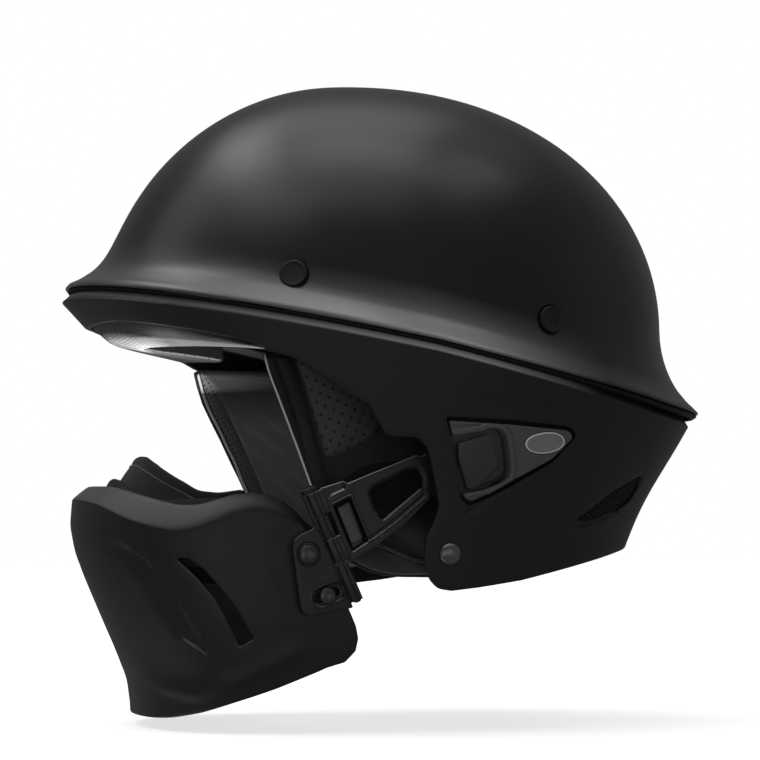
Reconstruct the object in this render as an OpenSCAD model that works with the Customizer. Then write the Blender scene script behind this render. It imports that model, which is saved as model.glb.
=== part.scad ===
// Open-face motorcycle half helmet with a detachable face muzzle.
// +X is the wearer's left, -Y is the front, +Z is up, as worn.
// The origin lies in the head cavity, on the wearer's centre plane.

/* [Dome] */
// Height of the crown above the origin
crown_h = 115; // [110:1:120]
// Half width of the dome, without its flared rim
half_w = 108; // [105:1:111]
// Front to rear half length of the dome, without its flare
half_l = 129; // [126:1:132]
// Wall of the dome
dome_wall = 3.2; // [2.4:0.2:4]
// Outward flare of the rim at the sides
rim_flare = 11; // [8:1:13]

/* [Skirt] */
// Wall of the lower shell
skirt_wall = 3; // [2.4:0.2:3.4]
// Diameter of the snap plugs in the dome
plug_d = 12.4; // [11:0.2:13]
// Diameter of the strap rivet heads
rivet_d = 10; // [8:0.5:11]

/* [Muzzle] */
// Half width of the muzzle
muzzle_w = 86; // [84:0.5:86.5]
// Wall of the muzzle shell
muzzle_wall = 2.8; // [2.2:0.2:3]
// Tilt of the hinge line against the vertical
hinge_tilt = 23.4; // [22.5:0.1:24]

/* [Arms] */
// Thickness of the arms
arm_t = 5; // [4:0.5:5]
// Diameter of the hinge pins
pin_d = 2.6; // [2.4:0.1:2.8]
// Diameter of the muzzle's screw heads
screw_d = 9; // [8:0.5:9]

/* [Padding] */
// Thickness of the cheek flaps
flap_t = 11; // [9:0.5:12]
// Width of the chin strap
strap_w = 22; // [18:1:24]

/* [Hidden] */
NA = 60;                 // columns round the helmet
HX = 91.5;               // hinge pins, from the centre plane
HY = -41.2;
HZ = -101.4;
run = 0.3;               // gap between stacked shells

// ---- the helmet's outer form -------------------------------------------
// shrink of a horizontal slice with height
function f_of(z, h) = z >= 0 ? sqrt(max(0, 1 - pow(z / h, 2)))
                             : 1 + 0.000056 * z * z;
// the rim's height, falling to the rear
function rim_y(y) = -11 - (y < 0 ? 0.19 : 0.225) * y
                    + (y > 110 ? 0.0026 * pow(y - 110, 2) : 0);
function rim_z(a) = rim_y(150 * sin(a));
function flare(a) = sin(a) < 0 ? rim_flare + 6.5 * pow(-sin(a), 3)
                               : rim_flare - 5.8 * pow(sin(a), 2);
function reach(a) = sin(a) < 0 ? 9 + 2 * sin(a) : 9;
function out(a) = let (x = cos(a) / half_w, y = sin(a) / (half_l + 5),
                       l = norm([x, y])) [x / l, y / l, 0];
function slice_pt(a, z, o) = let (f = f_of(z, crown_h - o))
    [(half_w - o) * f * cos(a),
     -14.8 + 15 * f + (4.8 + (half_l - o) * f) * sin(a)
       + max(0, 1 - f) * f * (6.5 + 2.5 * sin(a))
       + 0.8 * f * pow(max(0, sin(a)), 2), z];
function dome_pt(a, z, o = 0, g = 1) = slice_pt(a, z, o)
    + out(a) * g * flare(a)
      * exp(-max(0, z - rim_z(a) - 2) / reach(a));
// a point of the lower shell, d below the rim and o inside its face
function lean(a) = sin(a) < 0 ? 0.16 + 0.84 * pow(-sin(a), 6)
                              : 0.16 + 0.48 * pow(sin(a), 4);
function tuck(a) = sin(a) > 0 ? 4.4 * pow(sin(a), 2) : 0;
// the lip reaches past the rim at the front
function lip(a) = sin(a) < 0 ? 2.5 * pow(-sin(a), 6) : 0;
function bevel(a) = sin(a) < 0 ? 2 + 2 * pow(-sin(a), 4) : 2;
// the nape's lower half stands a little further in
function waist(a, d) = let (t = min(1, max(0, (d - 12) / 42)))
    sin(a) > 0 ? 3.5 * pow(sin(a), 4) * t * t * (3 - 2 * t) : 0;
function skirt_pt(a, d, o = 0) = let (z = rim_z(a),
      p = slice_pt(a, z, 0) + out(a) * flare(a))
    [p[0], p[1], z - d] - out(a) * (o + 1 + tuck(a) - lip(a)
      + (d < 6 ? bevel(a) * (6 - d) / 3.5 : 0)
      + lean(a) * max(0, d - 6) + waist(a, d));
function skirt_at(a, z, o = 0) = skirt_pt(a, rim_z(a) - z, o);

// ---- shells from columns of points --------------------------------------
// S holds closed sections: n points up the outside, n down the inside
module band(S, closed) {
  m = len(S); k = len(S[0]); n = k / 2; e = closed ? m : m - 1;
  polyhedron(points = [for (s = S) each s],
    faces = concat(
      [for (s = [0 : e - 1], i = [0 : k - 1]) let (t = (s + 1) % m,
         j = (i + 1) % k) each [[s*k+i, s*k+j, t*k+j], [s*k+i, t*k+j, t*k+i]]],
      closed ? [] : [for (i = [0 : n - 2]) each [
         [i+1, i, k-1-i], [i+1, k-1-i, k-2-i],
         [e*k+i, e*k+i+1, e*k+k-2-i], [e*k+i, e*k+k-2-i, e*k+k-1-i]]]),
    convexity = 8);
}
// two nested domes joined at the rim; O and I are rows from the rim up
module bowl(O, po, I, pi) {
  n = len(O[0]); a = len(O); b = len(I); q = a * n;
  polyhedron(points = concat([for (r = O) each r], [for (r = I) each r],
                             [po, pi]),
    faces = concat(
      [for (r = [0 : a - 2], s = [0 : n - 1]) let (t = (s + 1) % n)
         each [[r*n+s, (r+1)*n+s, (r+1)*n+t], [r*n+s, (r+1)*n+t, r*n+t]]],
      [for (s = [0 : n - 1]) let (t = (s + 1) % n)
         [(a-1)*n+s, q + b*n, (a-1)*n+t]],
      [for (r = [0 : b - 2], s = [0 : n - 1]) let (t = (s + 1) % n)
         each [[q+r*n+s, q+(r+1)*n+t, q+(r+1)*n+s],
               [q+r*n+s, q+r*n+t, q+(r+1)*n+t]]],
      [for (s = [0 : n - 1]) let (t = (s + 1) % n)
         [q+(b-1)*n+s, q+(b-1)*n+t, q + b*n + 1]],
      [for (s = [0 : n - 1]) let (t = (s + 1) % n)
         each [[s, t, q+t], [s, q+t, q+s]]]),
    convexity = 8);
}
function ring_a(i, n) = -180 + 360 * i / n;
// rows of a dome between its rim and the crown
RO = [0, 0.014, 0.03, 0.06, 0.1, 0.15, 0.22, 0.3, 0.4, 0.5, 0.6, 0.7, 0.79,
      0.87, 0.93, 0.97, 0.992];
RI = [0, 0.05, 0.12, 0.24, 0.4, 0.56, 0.7, 0.82, 0.92, 0.98];
function dome_rows(R, n, o, lift = 0, g = 1) = [for (t = R)
  [for (i = [0 : n - 1]) let (a = ring_a(i, n), z0 = rim_z(a) + lift)
    dome_pt(a, z0 + (crown_h - o - z0) * t, o, g)]];

// turns a side-view outline (Y, Z) into a bar along X
module bar(pts, x0, x1) {
  translate([x0, 0, 0]) rotate([90, 0, 90])
    linear_extrude(x1 - x0) polygon(pts);
}
module both() { children(); mirror([1, 0, 0]) children(); }
// resize by nothing: joins shell cuts into one clean mesh
module meshed() { resize([0, 0, 0]) children(); }
// the arm's own frame: Y runs back along the arm, Z up along the hinge
module arm_frame() {
  translate([HX, HY, HZ]) rotate([hinge_tilt, 0, 0]) children();
}

// ---- outlines seen from the side (Y, Z) ---------------------------------
SKIRT_EDGE = [[-170, 40], [170, 40], [170, -92], [97, -105.5], [70, -111.5],
  [43, -117.5], [23, -120.5], [10, -122], [4, -121], [0, -117], [-3, -108],
  [-2.5, -98], [1, -91], [3, -84], [1, -75], [-3, -59], [-8, -54], [-21, -54],
  [-26, -46], [-29, -40], [-33, -38], [-47, -28.5], [-60, -20], [-74, -15],
  [-80, -12], [-89, -9.5], [-97, -7.5], [-120, -2.5], [-133, 0], [-170, 0]];
BEZEL = [[5, -45], [8, -44], [59, -47], [64, -49], [63, -53], [20, -82],
  [16, -83], [13, -80]];
WINDOW = [[9, -53], [29, -49], [35, -52], [37.5, -60], [36, -72], [31, -76],
  [15, -80], [12, -72]];
LATCH = [[11.2, -57], [25, -51.8], [33, -60], [32, -71], [16.5, -77]];
VENT = [[68, -91], [75, -87.4], [90, -77.6], [101, -72.6], [109, -69.6],
  [107.5, -75], [102, -81.6], [94.6, -86], [86, -88.6], [77.6, -91]];
FLAP = [[-78.4, -18], [-74.5, -33], [-65.5, -51], [-54, -75], [-40, -104], [-36, -107.5],
  [-30, -111], [-24, -114], [-17, -116], [-8, -116.8], [8, -117], [18, -112], [23, -90], [25, -60],
  [26, -27], [0, -21], [-40, -15.5], [-76, -15.5]];

// ---- upper helmet --------------------------------------------------------
function plug_at(k) = k == 0 ? [-27, 18.6] : [25, -0.4];
module plug_axis(k) {
  p = plug_at(k);
  translate(dome_pt(p[0], p[1])) rotate([0, 0, p[0]])
    rotate([0, k == 0 ? 78 : 84, 0]) children();
}
module outer_shell() {
  color("#1b1b1c") meshed() difference() {
    bowl(dome_rows(RO, NA, 0), [0, -14.8, crown_h],
         dome_rows(RI, NA, dome_wall), [0, -14.8, crown_h - dome_wall]);
    both() for (k = [0, 1]) plug_axis(k)
      translate([0, 0, -9]) cylinder(d = plug_d + 0.5, h = 16, $fn = 32);
  }
}
module rim_trim() {
  color("#0c0c0c") band([for (i = [0 : NA - 1]) let (a = ring_a(i, NA),
      z = rim_z(a), p = dome_pt(a, z), u = out(a))
    [p - u * 1.6 - [0, 0, 2.2], p - u * 1.2 - [0, 0, run],
     p - u * 4.6 - [0, 0, run], p - u * 4.6 - [0, 0, 2.2]]], true);
}
module snap_plugs() {
  color("#232324") both() for (k = [0, 1]) plug_axis(k) {
    translate([0, 0, -2.6]) cylinder(d = plug_d, h = 3.4, $fn = 48);
  }
}
module eps_liner() {
  color("#2a2a2c") bowl(dome_rows(RI, 48, dome_wall + 0.6, 1, 0.7),
    [0, -14.8, crown_h - dome_wall - 0.6],
    dome_rows(RI, 48, 24, 1, 0), [0, -14.8, crown_h - 24]);
}
module crown_liner() {
  color("#3a3a3d") bowl(dome_rows(RI, 40, 24.4, -1, 0),
    [0, -14.8, crown_h - 24.4],
    dome_rows(RI, 40, 29.5, -1, 0), [0, -14.8, crown_h - 29.5]);
}
module brow_lining() {
  color("#9a9a9c") band([for (i = [0 : 24]) let (a = -143 + 106 * i / 24,
      zb = 1 - 0.24 * (140 + 150 * sin(a)) - 0.6, zl = 2.6 * (-sin(a)) - 13.8,
      q = slice_pt(a, rim_z(a), 29.8), m = skirt_at(a, zb, 13))
    [[m[0], m[1], (zb + 2 * zl) / 3], skirt_at(a, zb, skirt_wall + 0.5),
     skirt_at(a, zb + 8, skirt_wall + 0.5), [q[0], q[1], zb + 10],
     [q[0], q[1], (zb + zl) / 2 + 4], [q[0], q[1], zl]]], false);
}

// ---- lower shell ----------------------------------------------------------
function drop_a(a) = let (s = sin(a), t = (s + 0.66) / 0.36)
    s < -0.66 ? 24 : s > -0.3 ? 128 : 24 + 104 * t * t * (3 - 2 * t);
DR = [0, 0.06, 0.12, 0.2, 0.3, 0.42, 0.56, 0.72, 0.86, 1];
function skirt_d(a, t) = 2.3 + (drop_a(a) - 2.3) * t;
function skirt_rows(a) = drop_a(a) < 30 ? [2.3, 4, 6, 8, 10, 13, 16, 19, 22, 24]
  : [2.3, 4, 6, 8 + (drop_a(a) - 24) * 0.02, 10 + (drop_a(a) - 24) * 0.1,
     13 + (drop_a(a) - 24) * 0.2, 16 + (drop_a(a) - 24) * 0.38,
     19 + (drop_a(a) - 24) * 0.56, 22 + (drop_a(a) - 24) * 0.78, drop_a(a)];
module skirt_wall(o0, o1) {
  band([for (i = [0 : NA - 1]) let (a = ring_a(i, NA), R = skirt_rows(a))
    concat([for (j = [9 : -1 : 0]) skirt_pt(a, R[j], o0)],
           [for (j = [0 : 9]) skirt_pt(a, R[j], o1)])], true);
}
// a patch of the skirt between two offsets, inside a side-view outline
module skirt_patch(pts, a0, a1, d0, d1, o0, o1) {
  n = 10; m = 8;
  meshed() intersection() {
    band([for (i = [0 : n]) let (a = a0 + (a1 - a0) * i / n)
      concat([for (j = [m : -1 : 0]) skirt_pt(a, d0 + (d1-d0) * j / m, o0)],
             [for (j = [0 : m]) skirt_pt(a, d0 + (d1-d0) * j / m, o1)])],
      false);
    bar(pts, 20, 140);
  }
}
module lower_shell() {
  color("#1d1d1e") meshed() difference() {
    intersection() {
      skirt_wall(0, skirt_wall);
      bar(SKIRT_EDGE, -160, 160);
    }
    both() {
      bar(BEZEL, 60, 150);
      bar(VENT, 60, 150);
      translate([90, 8.6, -105.4]) rotate([0, 90, 0])
        cylinder(d = 4.4, h = 30, $fn = 16);
    }
  }
}
module skirt_foam() {
  color("#303033") band([for (i = [0 : 22]) let (a = 42 + 96 * i / 22,
      zt = rim_z(a) - 8, zb = -101 + 0.06 * abs(i - 11), zm = (zt + zb) / 2)
    [skirt_at(a, zb, 4.4), skirt_at(a, zm, 4.4), skirt_at(a, zt, 4.4),
     skirt_at(a, zt, 18), skirt_at(a, zm, 17), skirt_at(a, zb, 16)]], false);
}
module neck_roll() {
  color("#2e2e30") band([for (i = [0 : 22]) let (a = 44 + 92 * i / 22)
    [skirt_at(a, -101, 16.7), skirt_at(a, -96, 17.3), skirt_at(a, -64, 19),
     skirt_at(a, -60, 22), skirt_at(a, -64, 29), skirt_at(a, -80, 31),
     skirt_at(a, -96, 26), skirt_at(a, -101, 20)]], false);
}
module bezel() {
  difference() {
    skirt_patch([for (p = BEZEL) [34 + (p[0]-34)*0.985, -60 + (p[1]+60)*0.975]],
                -2, 32, 14, 80, -0.9, 2.6);
    bar(WINDOW, 60, 150);
    badge_at() translate([0, 0, 0.5]) linear_extrude(6) badge_shape(0.3);
  }
}
module bezel_left() { color("#5a5a5c") meshed() bezel(); }
module bezel_right() {
  color("#5a5a5c") meshed() mirror([1, 0, 0]) bezel();
}
module badge_at() {
  translate(skirt_at(21, -56.2, 0)) rotate([0, 0, 18]) rotate([0, 98, 0])
    rotate([0, 0, 4]) children();
}
module badge_shape(grow) {
  hull() {
    translate([0, -4.6]) circle(d = 9.2 + grow, $fn = 40);
    translate([0, 4.6]) circle(d = 9.2 + grow, $fn = 40);
  }
}
module badge() {
  badge_at() translate([0, 0, 0.55]) linear_extrude(0.9) badge_shape(0);
}
module badge_left() { color("#b9b9bb") badge(); }
module badge_right() { color("#b9b9bb") mirror([1, 0, 0]) badge(); }
module release_tab() {
  difference() {
    skirt_patch([for (p = LATCH) p], -2, 30, 16, 76, 0.6, 3.6);
  }
}
module release_tab_left() {
  color("#4c4c4e") meshed() union() {
    release_tab();
    translate([100.2, 22, -64.5]) rotate([0, 90, 0])
      cylinder(d = 6, h = 7, $fn = 24);
  }
}
module release_tab_right() {
  mirror([1, 0, 0]) release_tab_left();
}
module receiver() {
  arm_frame() difference() {
    union() {
      translate([-5.5, 53, -1]) cube([13.5, 36, 24]);
      translate([-5.5, 54, 22.9]) cube([10, 6, 6]);
    }
    translate([-3.8, 50, 0.9]) cube([9.7, 36.5, 20.2]);
    translate([0, 72.6, 8.8]) rotate([0, 90, 0]) cylinder(d = 9, h = 20);
    // seat of the magnet, in the pocket's end
    translate([-3, 86, 5]) cube([8, 1.6, 12]);
  }
}
module receiver_left() { color("#202021") receiver(); }
module receiver_right() { color("#202021") mirror([1, 0, 0]) receiver(); }
module receiver_magnets() {
  color("#8a8a8c") both() arm_frame()
    translate([-3, 86.5, 5]) cube([8, 1.1, 12]);
}
module vent_mesh() { skirt_patch(VENT, 24, 56, 20, 74, 1.4, 2.4); }
module vent_mesh_left() { color("#3c3c3f") vent_mesh(); }
module vent_mesh_right() { color("#3c3c3f") mirror([1, 0, 0]) vent_mesh(); }
module strap_rivets() {
  p = skirt_at(3.6, -105.4, 0);
  color("#8f8f92") both() translate([p[0], p[1], p[2]])
    rotate([0, 96, 0]) {
      intersection() {
        translate([0, 0, -4.6]) sphere(r = 7.2, $fn = 48);
        translate([0, 0, 0.9]) cylinder(d = rivet_d, h = 6, $fn = 48);
      }
      translate([0, 0, -7]) cylinder(d = 3.6, h = 8, $fn = 24);
    }
}

// ---- padding and strap ------------------------------------------------------
module flap() {
  color("#3b3b3d") difference() {
    bar(FLAP, 84 - flap_t, 84);
  }
}
module cheek_flap_left() { flap(); }
module cheek_flap_right() { mirror([1, 0, 0]) flap(); }
// the strap comes out of the flap's inner face and runs under the chin
STRAP = [[72.2, -19, -99, 50], [68, -20, -103.4, 60], [60, -22.5, -107, 70],
  [48, -26, -109.6, 80], [34, -29, -111, 86], [20, -31, -111.6, 90],
  [8, -31.5, -111.8, 90]];
function strap_sec(p, w, t) = let (c = cos(p[3]), s = sin(p[3]))
  // thickness runs from outward (+X) to down, width lies along Y
  [for (q = [[t/2, -w/2], [t/2, w/2], [-t/2, w/2], [-t/2, -w/2]])
     [p[0] + q[0] * c, p[1] + q[1], p[2] - q[0] * s]];
module strap_half() {
  band([for (p = STRAP) strap_sec(p, strap_w, 2.4)], false);
}
module strap_left() { color("#161617") strap_half(); }
module strap_right() { color("#161617") mirror([1, 0, 0]) strap_half(); }
module d_rings() {
  color("#a8a8aa") for (k = [0, 1])
    translate([-6.5 + k * 13, -31.5, -115.9]) linear_extrude(2.6) difference() {
      square([6, strap_w + 8], center = true);
      square([2.4, strap_w + 2], center = true);
    }
}

// ---- arms, hinges, brackets ---------------------------------------------------
ARM = [[4, -9.9], [18.5, -7.8], [27.8, -5.7], [35, -3.5], [44, 0], [49, 2.2],
  [58, 3], [83, 4], [83, 19], [58, 20.2], [52, 20.4], [50, 21.7], [29, 22.3], [16, 22.5],
  [15, 24.2], [4, 25.4]];
ARM_WIN = [[6.6, 16.4], [15.4, 16.6], [14.8, -5], [6, -6.2]];
ARM_TRI = [[24.3, 15.6], [29, 17], [44, 17], [46.5, 15], [46.4, 9.5],
  [44, 7], [35, 4.4], [24.6, 1.4], [23.4, 4.4]];
module knuckle(z0, z1, r, bore) {
  difference() {
    translate([0, 0, z0]) cylinder(r = r, h = z1 - z0, $fn = 32);
    translate([0, 0, z0 - 1]) cylinder(r = bore, h = z1 - z0 + 2, $fn = 32);
  }
}
module arm_plate() {
  translate([-2.5, 0, 0]) rotate([90, 0, 90]) linear_extrude(arm_t)
    difference() { polygon(ARM); polygon(ARM_WIN); polygon(ARM_TRI); }
}
module arm() {
  arm_frame() {
    difference() {
      union() {
        arm_plate();
        translate([0, 0, -8.5]) cylinder(r = 2.6, h = 11.5, $fn = 32);
        translate([0, 0, 14]) cylinder(r = 2.6, h = 11, $fn = 32);
        translate([-2, 0, -8.5]) cube([4, 5, 11.5]);
        translate([-2, 0, 14]) cube([4, 5, 11]);
      }
      translate([0, 0, -40]) cylinder(d = pin_d + 0.1, h = 80, $fn = 32);
      translate([-5, -6, 3]) cube([10, 9.6, 11]);
      translate([-1.4, 78, 7]) cube([2.8, 6, 9]);
    }
  }
}
module arm_left() { color("#5b5b5d") arm(); }
module arm_right() { color("#5b5b5d") mirror([1, 0, 0]) arm(); }
module arm_magnet() {
  arm_frame() translate([-1.4, 78.05, 7]) cube([2.8, 4.9, 9]);
}
module arm_magnets_left() { color("#8a8a8c") arm_magnet(); }
module arm_magnets_right() { color("#8a8a8c") mirror([1, 0, 0]) arm_magnet(); }
module arm_tab() {
  arm_frame() {
    translate([-1.2, 0, 0]) rotate([90, 0, 90]) linear_extrude(3.2)
      polygon([[7.4, 14.2], [14.4, 14.6], [13.9, -3.2], [7, -4.6]]);
  }
}
module arm_tab_left() { color("#6a6a6c") arm_tab(); }
module arm_tab_right() { color("#6a6a6c") mirror([1, 0, 0]) arm_tab(); }
BRACKET = [[-3.6, 11], [-5.4, 9.8], [-11, 9.6], [-15.4, 8.6], [-17.6, 6],
  [-20, 0], [-24.4, -18.6], [-23.6, -23], [-20.6, -25.8], [-3.6, -29.2]];
module slot_shape(w, l) {
  hull() { translate([-l, 0]) circle(d = w, $fn = 32);
           translate([l, 0]) circle(d = w, $fn = 32); }
}
module bracket() {
  arm_frame() difference() {
    union() {
      translate([-3.2, 0, 0]) rotate([90, 0, 90]) linear_extrude(3)
        polygon(BRACKET);
      difference() {
        for (s = [[-27, -9], [3.5, 13.5], [25.5, 27.5]])
          translate([0, 0, s[0]]) cylinder(r = 2.6, h = s[1] - s[0], $fn = 32);
      }
      translate([-3.2, -4.2, -27]) cube([3, 4.2, 18]);
      translate([-3.2, -4.2, 3.5]) cube([3, 4.2, 7.4]);
      translate([-1.2, -4.7, 9]) cube([2.4, 1.4, 18.5]);
      translate([-1.2, -4.7, 25.5]) cube([2.4, 4.7, 2]);
    }
    translate([0, 0, -40]) cylinder(d = pin_d, h = 80, $fn = 32);
    // pivot hole of the upper screw
    translate([-10, -12, 0.6]) rotate([0, 90, 0]) cylinder(d = 4.1, h = 20, $fn = 32);
    // slot of the lower screw
    translate([-10, -11.6, -19.6]) rotate([90, 0, 90]) linear_extrude(20)
      slot_shape(4.6, 3.4);
  }
}
module bracket_left() { color("#4a4a4c") bracket(); }
module bracket_right() { color("#4a4a4c") mirror([1, 0, 0]) bracket(); }
module pin() {
  arm_frame() translate([0, 0, -27]) cylinder(d = pin_d, h = 54, $fn = 32);
}
module hinge_pin_left() { color("#a0a0a2") pin(); }
module hinge_pin_right() { color("#a0a0a2") mirror([1, 0, 0]) pin(); }

// ---- muzzle --------------------------------------------------------------------
function tab(t, x) = lookup(x, t);
FRONT_Y = [[-185, -117.5], [-176, -118], [-165, -119.5], [-150, -125.5],
  [-140, -130], [-117, -140], [-105, -144.5], [-93, -146.8], [-82, -146],
  [-60, -143]];
SIDE_X = [[-185, -9], [-165, -5.5], [-150, -2.4], [-135, -0.6], [-115, 0],
  [-100, 0], [-60, -2]];
TOP_Z = [[-150, -74.5], [-140, -75.2], [-128, -79], [-118, -82],
  [-110, -83.7], [-101, -83.5], [-95, -81.8], [-86, -79.2], [-76, -78],
  [-69, -79], [-63, -81.7], [-57, -86], [-54, -90], [-48, -95], [-20, -105]];
BOT_Z = [[-150, -181], [-114, -180.6], [-108, -179.8], [-97, -176.9],
  [-84, -172.2], [-64, -165.3], [-47, -158.5], [-35, -153.2], [-20, -146.6]];
CY = -62;
// plan position t from -1 (right rear) over 0 (front) to 1 (left rear)
function mz_xy(t, z, o) = let (u = abs(t), s = t < 0 ? -1 : 1,
    w = muzzle_w + tab(SIDE_X, z) - o, yf = tab(FRONT_Y, z) + o,
    yr = HY - (z - HZ) * tan(hinge_tilt) - 4.2,
    th = min(90, 90 * u / 0.78), q = max(0, (u - 0.78) / 0.22))
  u <= 0.78 ? [s * w * pow(sin(th), 0.92), CY + (yf - CY) * pow(cos(th), 0.96)]
            : [s * w, CY + (yr - CY) * q];
function mz_pt(t, z, o) = let (p = mz_xy(t, z, o)) [p[0], p[1], z];
function mz_top(t) = let (p = mz_xy(t, -84, 0)) tab(TOP_Z, p[1]);
function mz_bot(t) = let (p = mz_xy(t, -165, 0)) tab(BOT_Z, p[1]);
MV = [0, 0.05, 0.12, 0.25, 0.42, 0.6, 0.76, 0.88, 0.95, 1];
function roll(t) = 6.5 * (1 - 0.7 * pow(abs(t), 2));
module muzzle_wall_band(o0, o1) {
  n = 44;
  band([for (i = [0 : n]) let (t = -1 + 2 * i / n, zb = mz_bot(t),
        zt = mz_top(t))
    concat([for (v = MV) mz_pt(t, zb + (zt - zb) * v,
              o0 + (v > 0.87 ? roll(t) * (v - 0.88) / 0.12 : 0))],
           [for (j = [len(MV) - 1 : -1 : 0]) let (v = MV[j])
              mz_pt(t, zb + (zt - zb) * v,
              o1 + (v > 0.87 ? roll(t) * (v - 0.88) / 0.12 : 0))])], false);
}
SLOT = [[-110, -107], [-104, -107.5], [-98, -112], [-91, -120], [-84.5, -128],
  [-79.5, -136.5], [-75.5, -143], [-82, -147], [-84, -143.5], [-88.5, -134],
  [-93.5, -125], [-100.5, -116.5], [-106, -111]];
module muzzle_shell() {
  color("#1c1c1d") meshed() union() {
    difference() {
      muzzle_wall_band(0, muzzle_wall);
      both() bar(SLOT, 20, 130);
      both() bar([[-29.5, -138], [-30.5, -146], [-34, -151], [-41, -156],
        [-41, -170], [-10, -170], [-10, -138]], 20, 130);
      // flats that the brackets lie on
      both() arm_frame() translate([-6.2, -30, -36]) cube([20, 36, 50]);
      both() arm_frame() for (p = [[-12, 0.6], [-11.6, -19.6]])
        translate([-20, p[0], p[1]]) rotate([0, 90, 0])
          cylinder(d = 4.1, h = 30, $fn = 24);
    }
    both() arm_frame() for (p = [[-12, 0.6], [-11.6, -19.6]])
      translate([-8.6, p[0], p[1]]) rotate([0, 90, 0]) difference() {
        cylinder(d = 9, h = 2.4, $fn = 32);
        translate([0, 0, -1]) cylinder(d = 4.1, h = 6, $fn = 24);
      }
  }
}
LEAN = [[-125, 0], [-108, 0.6], [-96, 3], [-84, 7], [-72, 12], [-58, 19]];
module inner_band(TZ, zb, o0, o1, t1, n) {
  band([for (i = [0 : n]) let (t = -t1 + 2 * t1 * i / n, zt = tab(TZ, abs(t)))
    concat([for (v = [0, 0.35, 0.7, 1]) let (z = zb + (zt - zb) * v)
              mz_pt(t, z, o0 + tab(LEAN, z))],
           [for (v = [1, 0.7, 0.35, 0]) let (z = zb + (zt - zb) * v)
              mz_pt(t, z, o1 + tab(LEAN, z))])], false);
}
module nose_seal() {
  color("#29292b") inner_band([[0, -71], [0.1, -72], [0.25, -78],
    [0.4, -81.5], [0.6, -80], [0.72, -82]], -112, 4, 6.4, 0.7, 28);
}
module muzzle_liner() {
  color("#313134") inner_band([[0, -60.5], [0.1, -61], [0.16, -62.5],
    [0.23, -64.5], [0.33, -68.5], [0.43, -73], [0.5, -77], [0.58, -78],
    [0.66, -76.5]], -120, 8.8, 13.4, 0.66, 28);
}
module muzzle_screw(y, z, d) {
  arm_frame() translate([0, y, z]) {
    translate([0, 0, 0]) rotate([0, 90, 0]) difference() {
      translate([0, 0, 0.1]) cylinder(d = d, h = 2.2, $fn = 48);
      translate([0, 0, 1]) cylinder(d = d * 0.5, h = 4, $fn = 6);
    }
    translate([-11, 0, 0]) rotate([0, 90, 0]) cylinder(d = 4, h = 11.3, $fn = 32);
    translate([-11.5, 0, 0]) rotate([0, 90, 0]) cylinder(d = 7.4, h = 2.6, $fn = 6);
  }
}
module bracket_screws_left() {
  color("#77777a") { muzzle_screw(-12, 0.6, screw_d);
    muzzle_screw(-11.6, -19.6, screw_d - 0.6); }
}
module bracket_screws_right() { mirror([1, 0, 0]) bracket_screws_left(); }

outer_shell();
rim_trim();
lower_shell();
snap_plugs();
eps_liner();
skirt_foam();
crown_liner();
brow_lining();
cheek_flap_left();
cheek_flap_right();
neck_roll();
bezel_left();
bezel_right();
badge_left();
badge_right();
receiver_left();
receiver_right();
receiver_magnets();
release_tab_left();
release_tab_right();
vent_mesh_left();
vent_mesh_right();
strap_rivets();
strap_left();
strap_right();
d_rings();
arm_left();
arm_right();
arm_magnets_left();
arm_magnets_right();
arm_tab_left();
arm_tab_right();
bracket_left();
bracket_right();
hinge_pin_left();
hinge_pin_right();
muzzle_shell();
nose_seal();
muzzle_liner();
bracket_screws_left();
bracket_screws_right();
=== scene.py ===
import math

import bmesh
import bpy
import numpy as np
from mathutils import Matrix, Vector
from mathutils.geometry import delaunay_2d_cdt


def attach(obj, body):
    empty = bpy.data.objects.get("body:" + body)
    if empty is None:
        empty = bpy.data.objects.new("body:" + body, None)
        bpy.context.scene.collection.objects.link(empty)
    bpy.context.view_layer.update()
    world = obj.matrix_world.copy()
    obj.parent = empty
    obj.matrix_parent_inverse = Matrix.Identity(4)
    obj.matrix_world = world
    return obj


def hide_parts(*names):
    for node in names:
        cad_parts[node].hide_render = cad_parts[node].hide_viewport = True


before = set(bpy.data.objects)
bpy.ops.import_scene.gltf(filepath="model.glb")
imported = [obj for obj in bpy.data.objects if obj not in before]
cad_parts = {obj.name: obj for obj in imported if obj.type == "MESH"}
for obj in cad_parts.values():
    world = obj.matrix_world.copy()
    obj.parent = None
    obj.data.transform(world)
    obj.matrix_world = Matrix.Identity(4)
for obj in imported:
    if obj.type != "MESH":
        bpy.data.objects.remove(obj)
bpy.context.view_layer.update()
scene = bpy.context.scene
MM = 0.001

# ---------------------------------------------------------------------------
# the helmet's form, in millimetres, as the construction has it
# ---------------------------------------------------------------------------
CROWN_H, HALF_W, HALF_L = 115.0, 108.0, 129.0
DOME_WALL, SKIRT_WALL, MUZZLE_WALL = 3.2, 3.0, 2.8
HX, HY, HZ, TILT = 91.5, -41.2, -101.4, math.radians(23.4)


def arr(x):
    return np.asarray(x, float)


def lut(table, x):
    t = np.array(table, float)
    return np.interp(x, t[:, 0], t[:, 1])


def ease(t):
    t = np.clip(t, 0.0, 1.0)
    return t * t * (3 - 2 * t)


def f_of(z, h):
    return np.where(z >= 0, np.sqrt(np.clip(1 - (z / h) ** 2, 0, 1)), 1 + 0.000056 * z * z)


def rim_z(a):
    y = 150 * np.sin(np.radians(a))
    return -11 - np.where(y < 0, 0.19, 0.225) * y + 0.0026 * np.maximum(y - 110, 0) ** 2


def flare(a):
    s = np.sin(np.radians(a))
    return np.where(s < 0, 11 + 6.5 * np.abs(s) ** 3, 11 - 5.8 * s * s)


def reach(a):
    s = np.sin(np.radians(a))
    return np.where(s < 0, 9 + 2 * s, 9.0)


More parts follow.
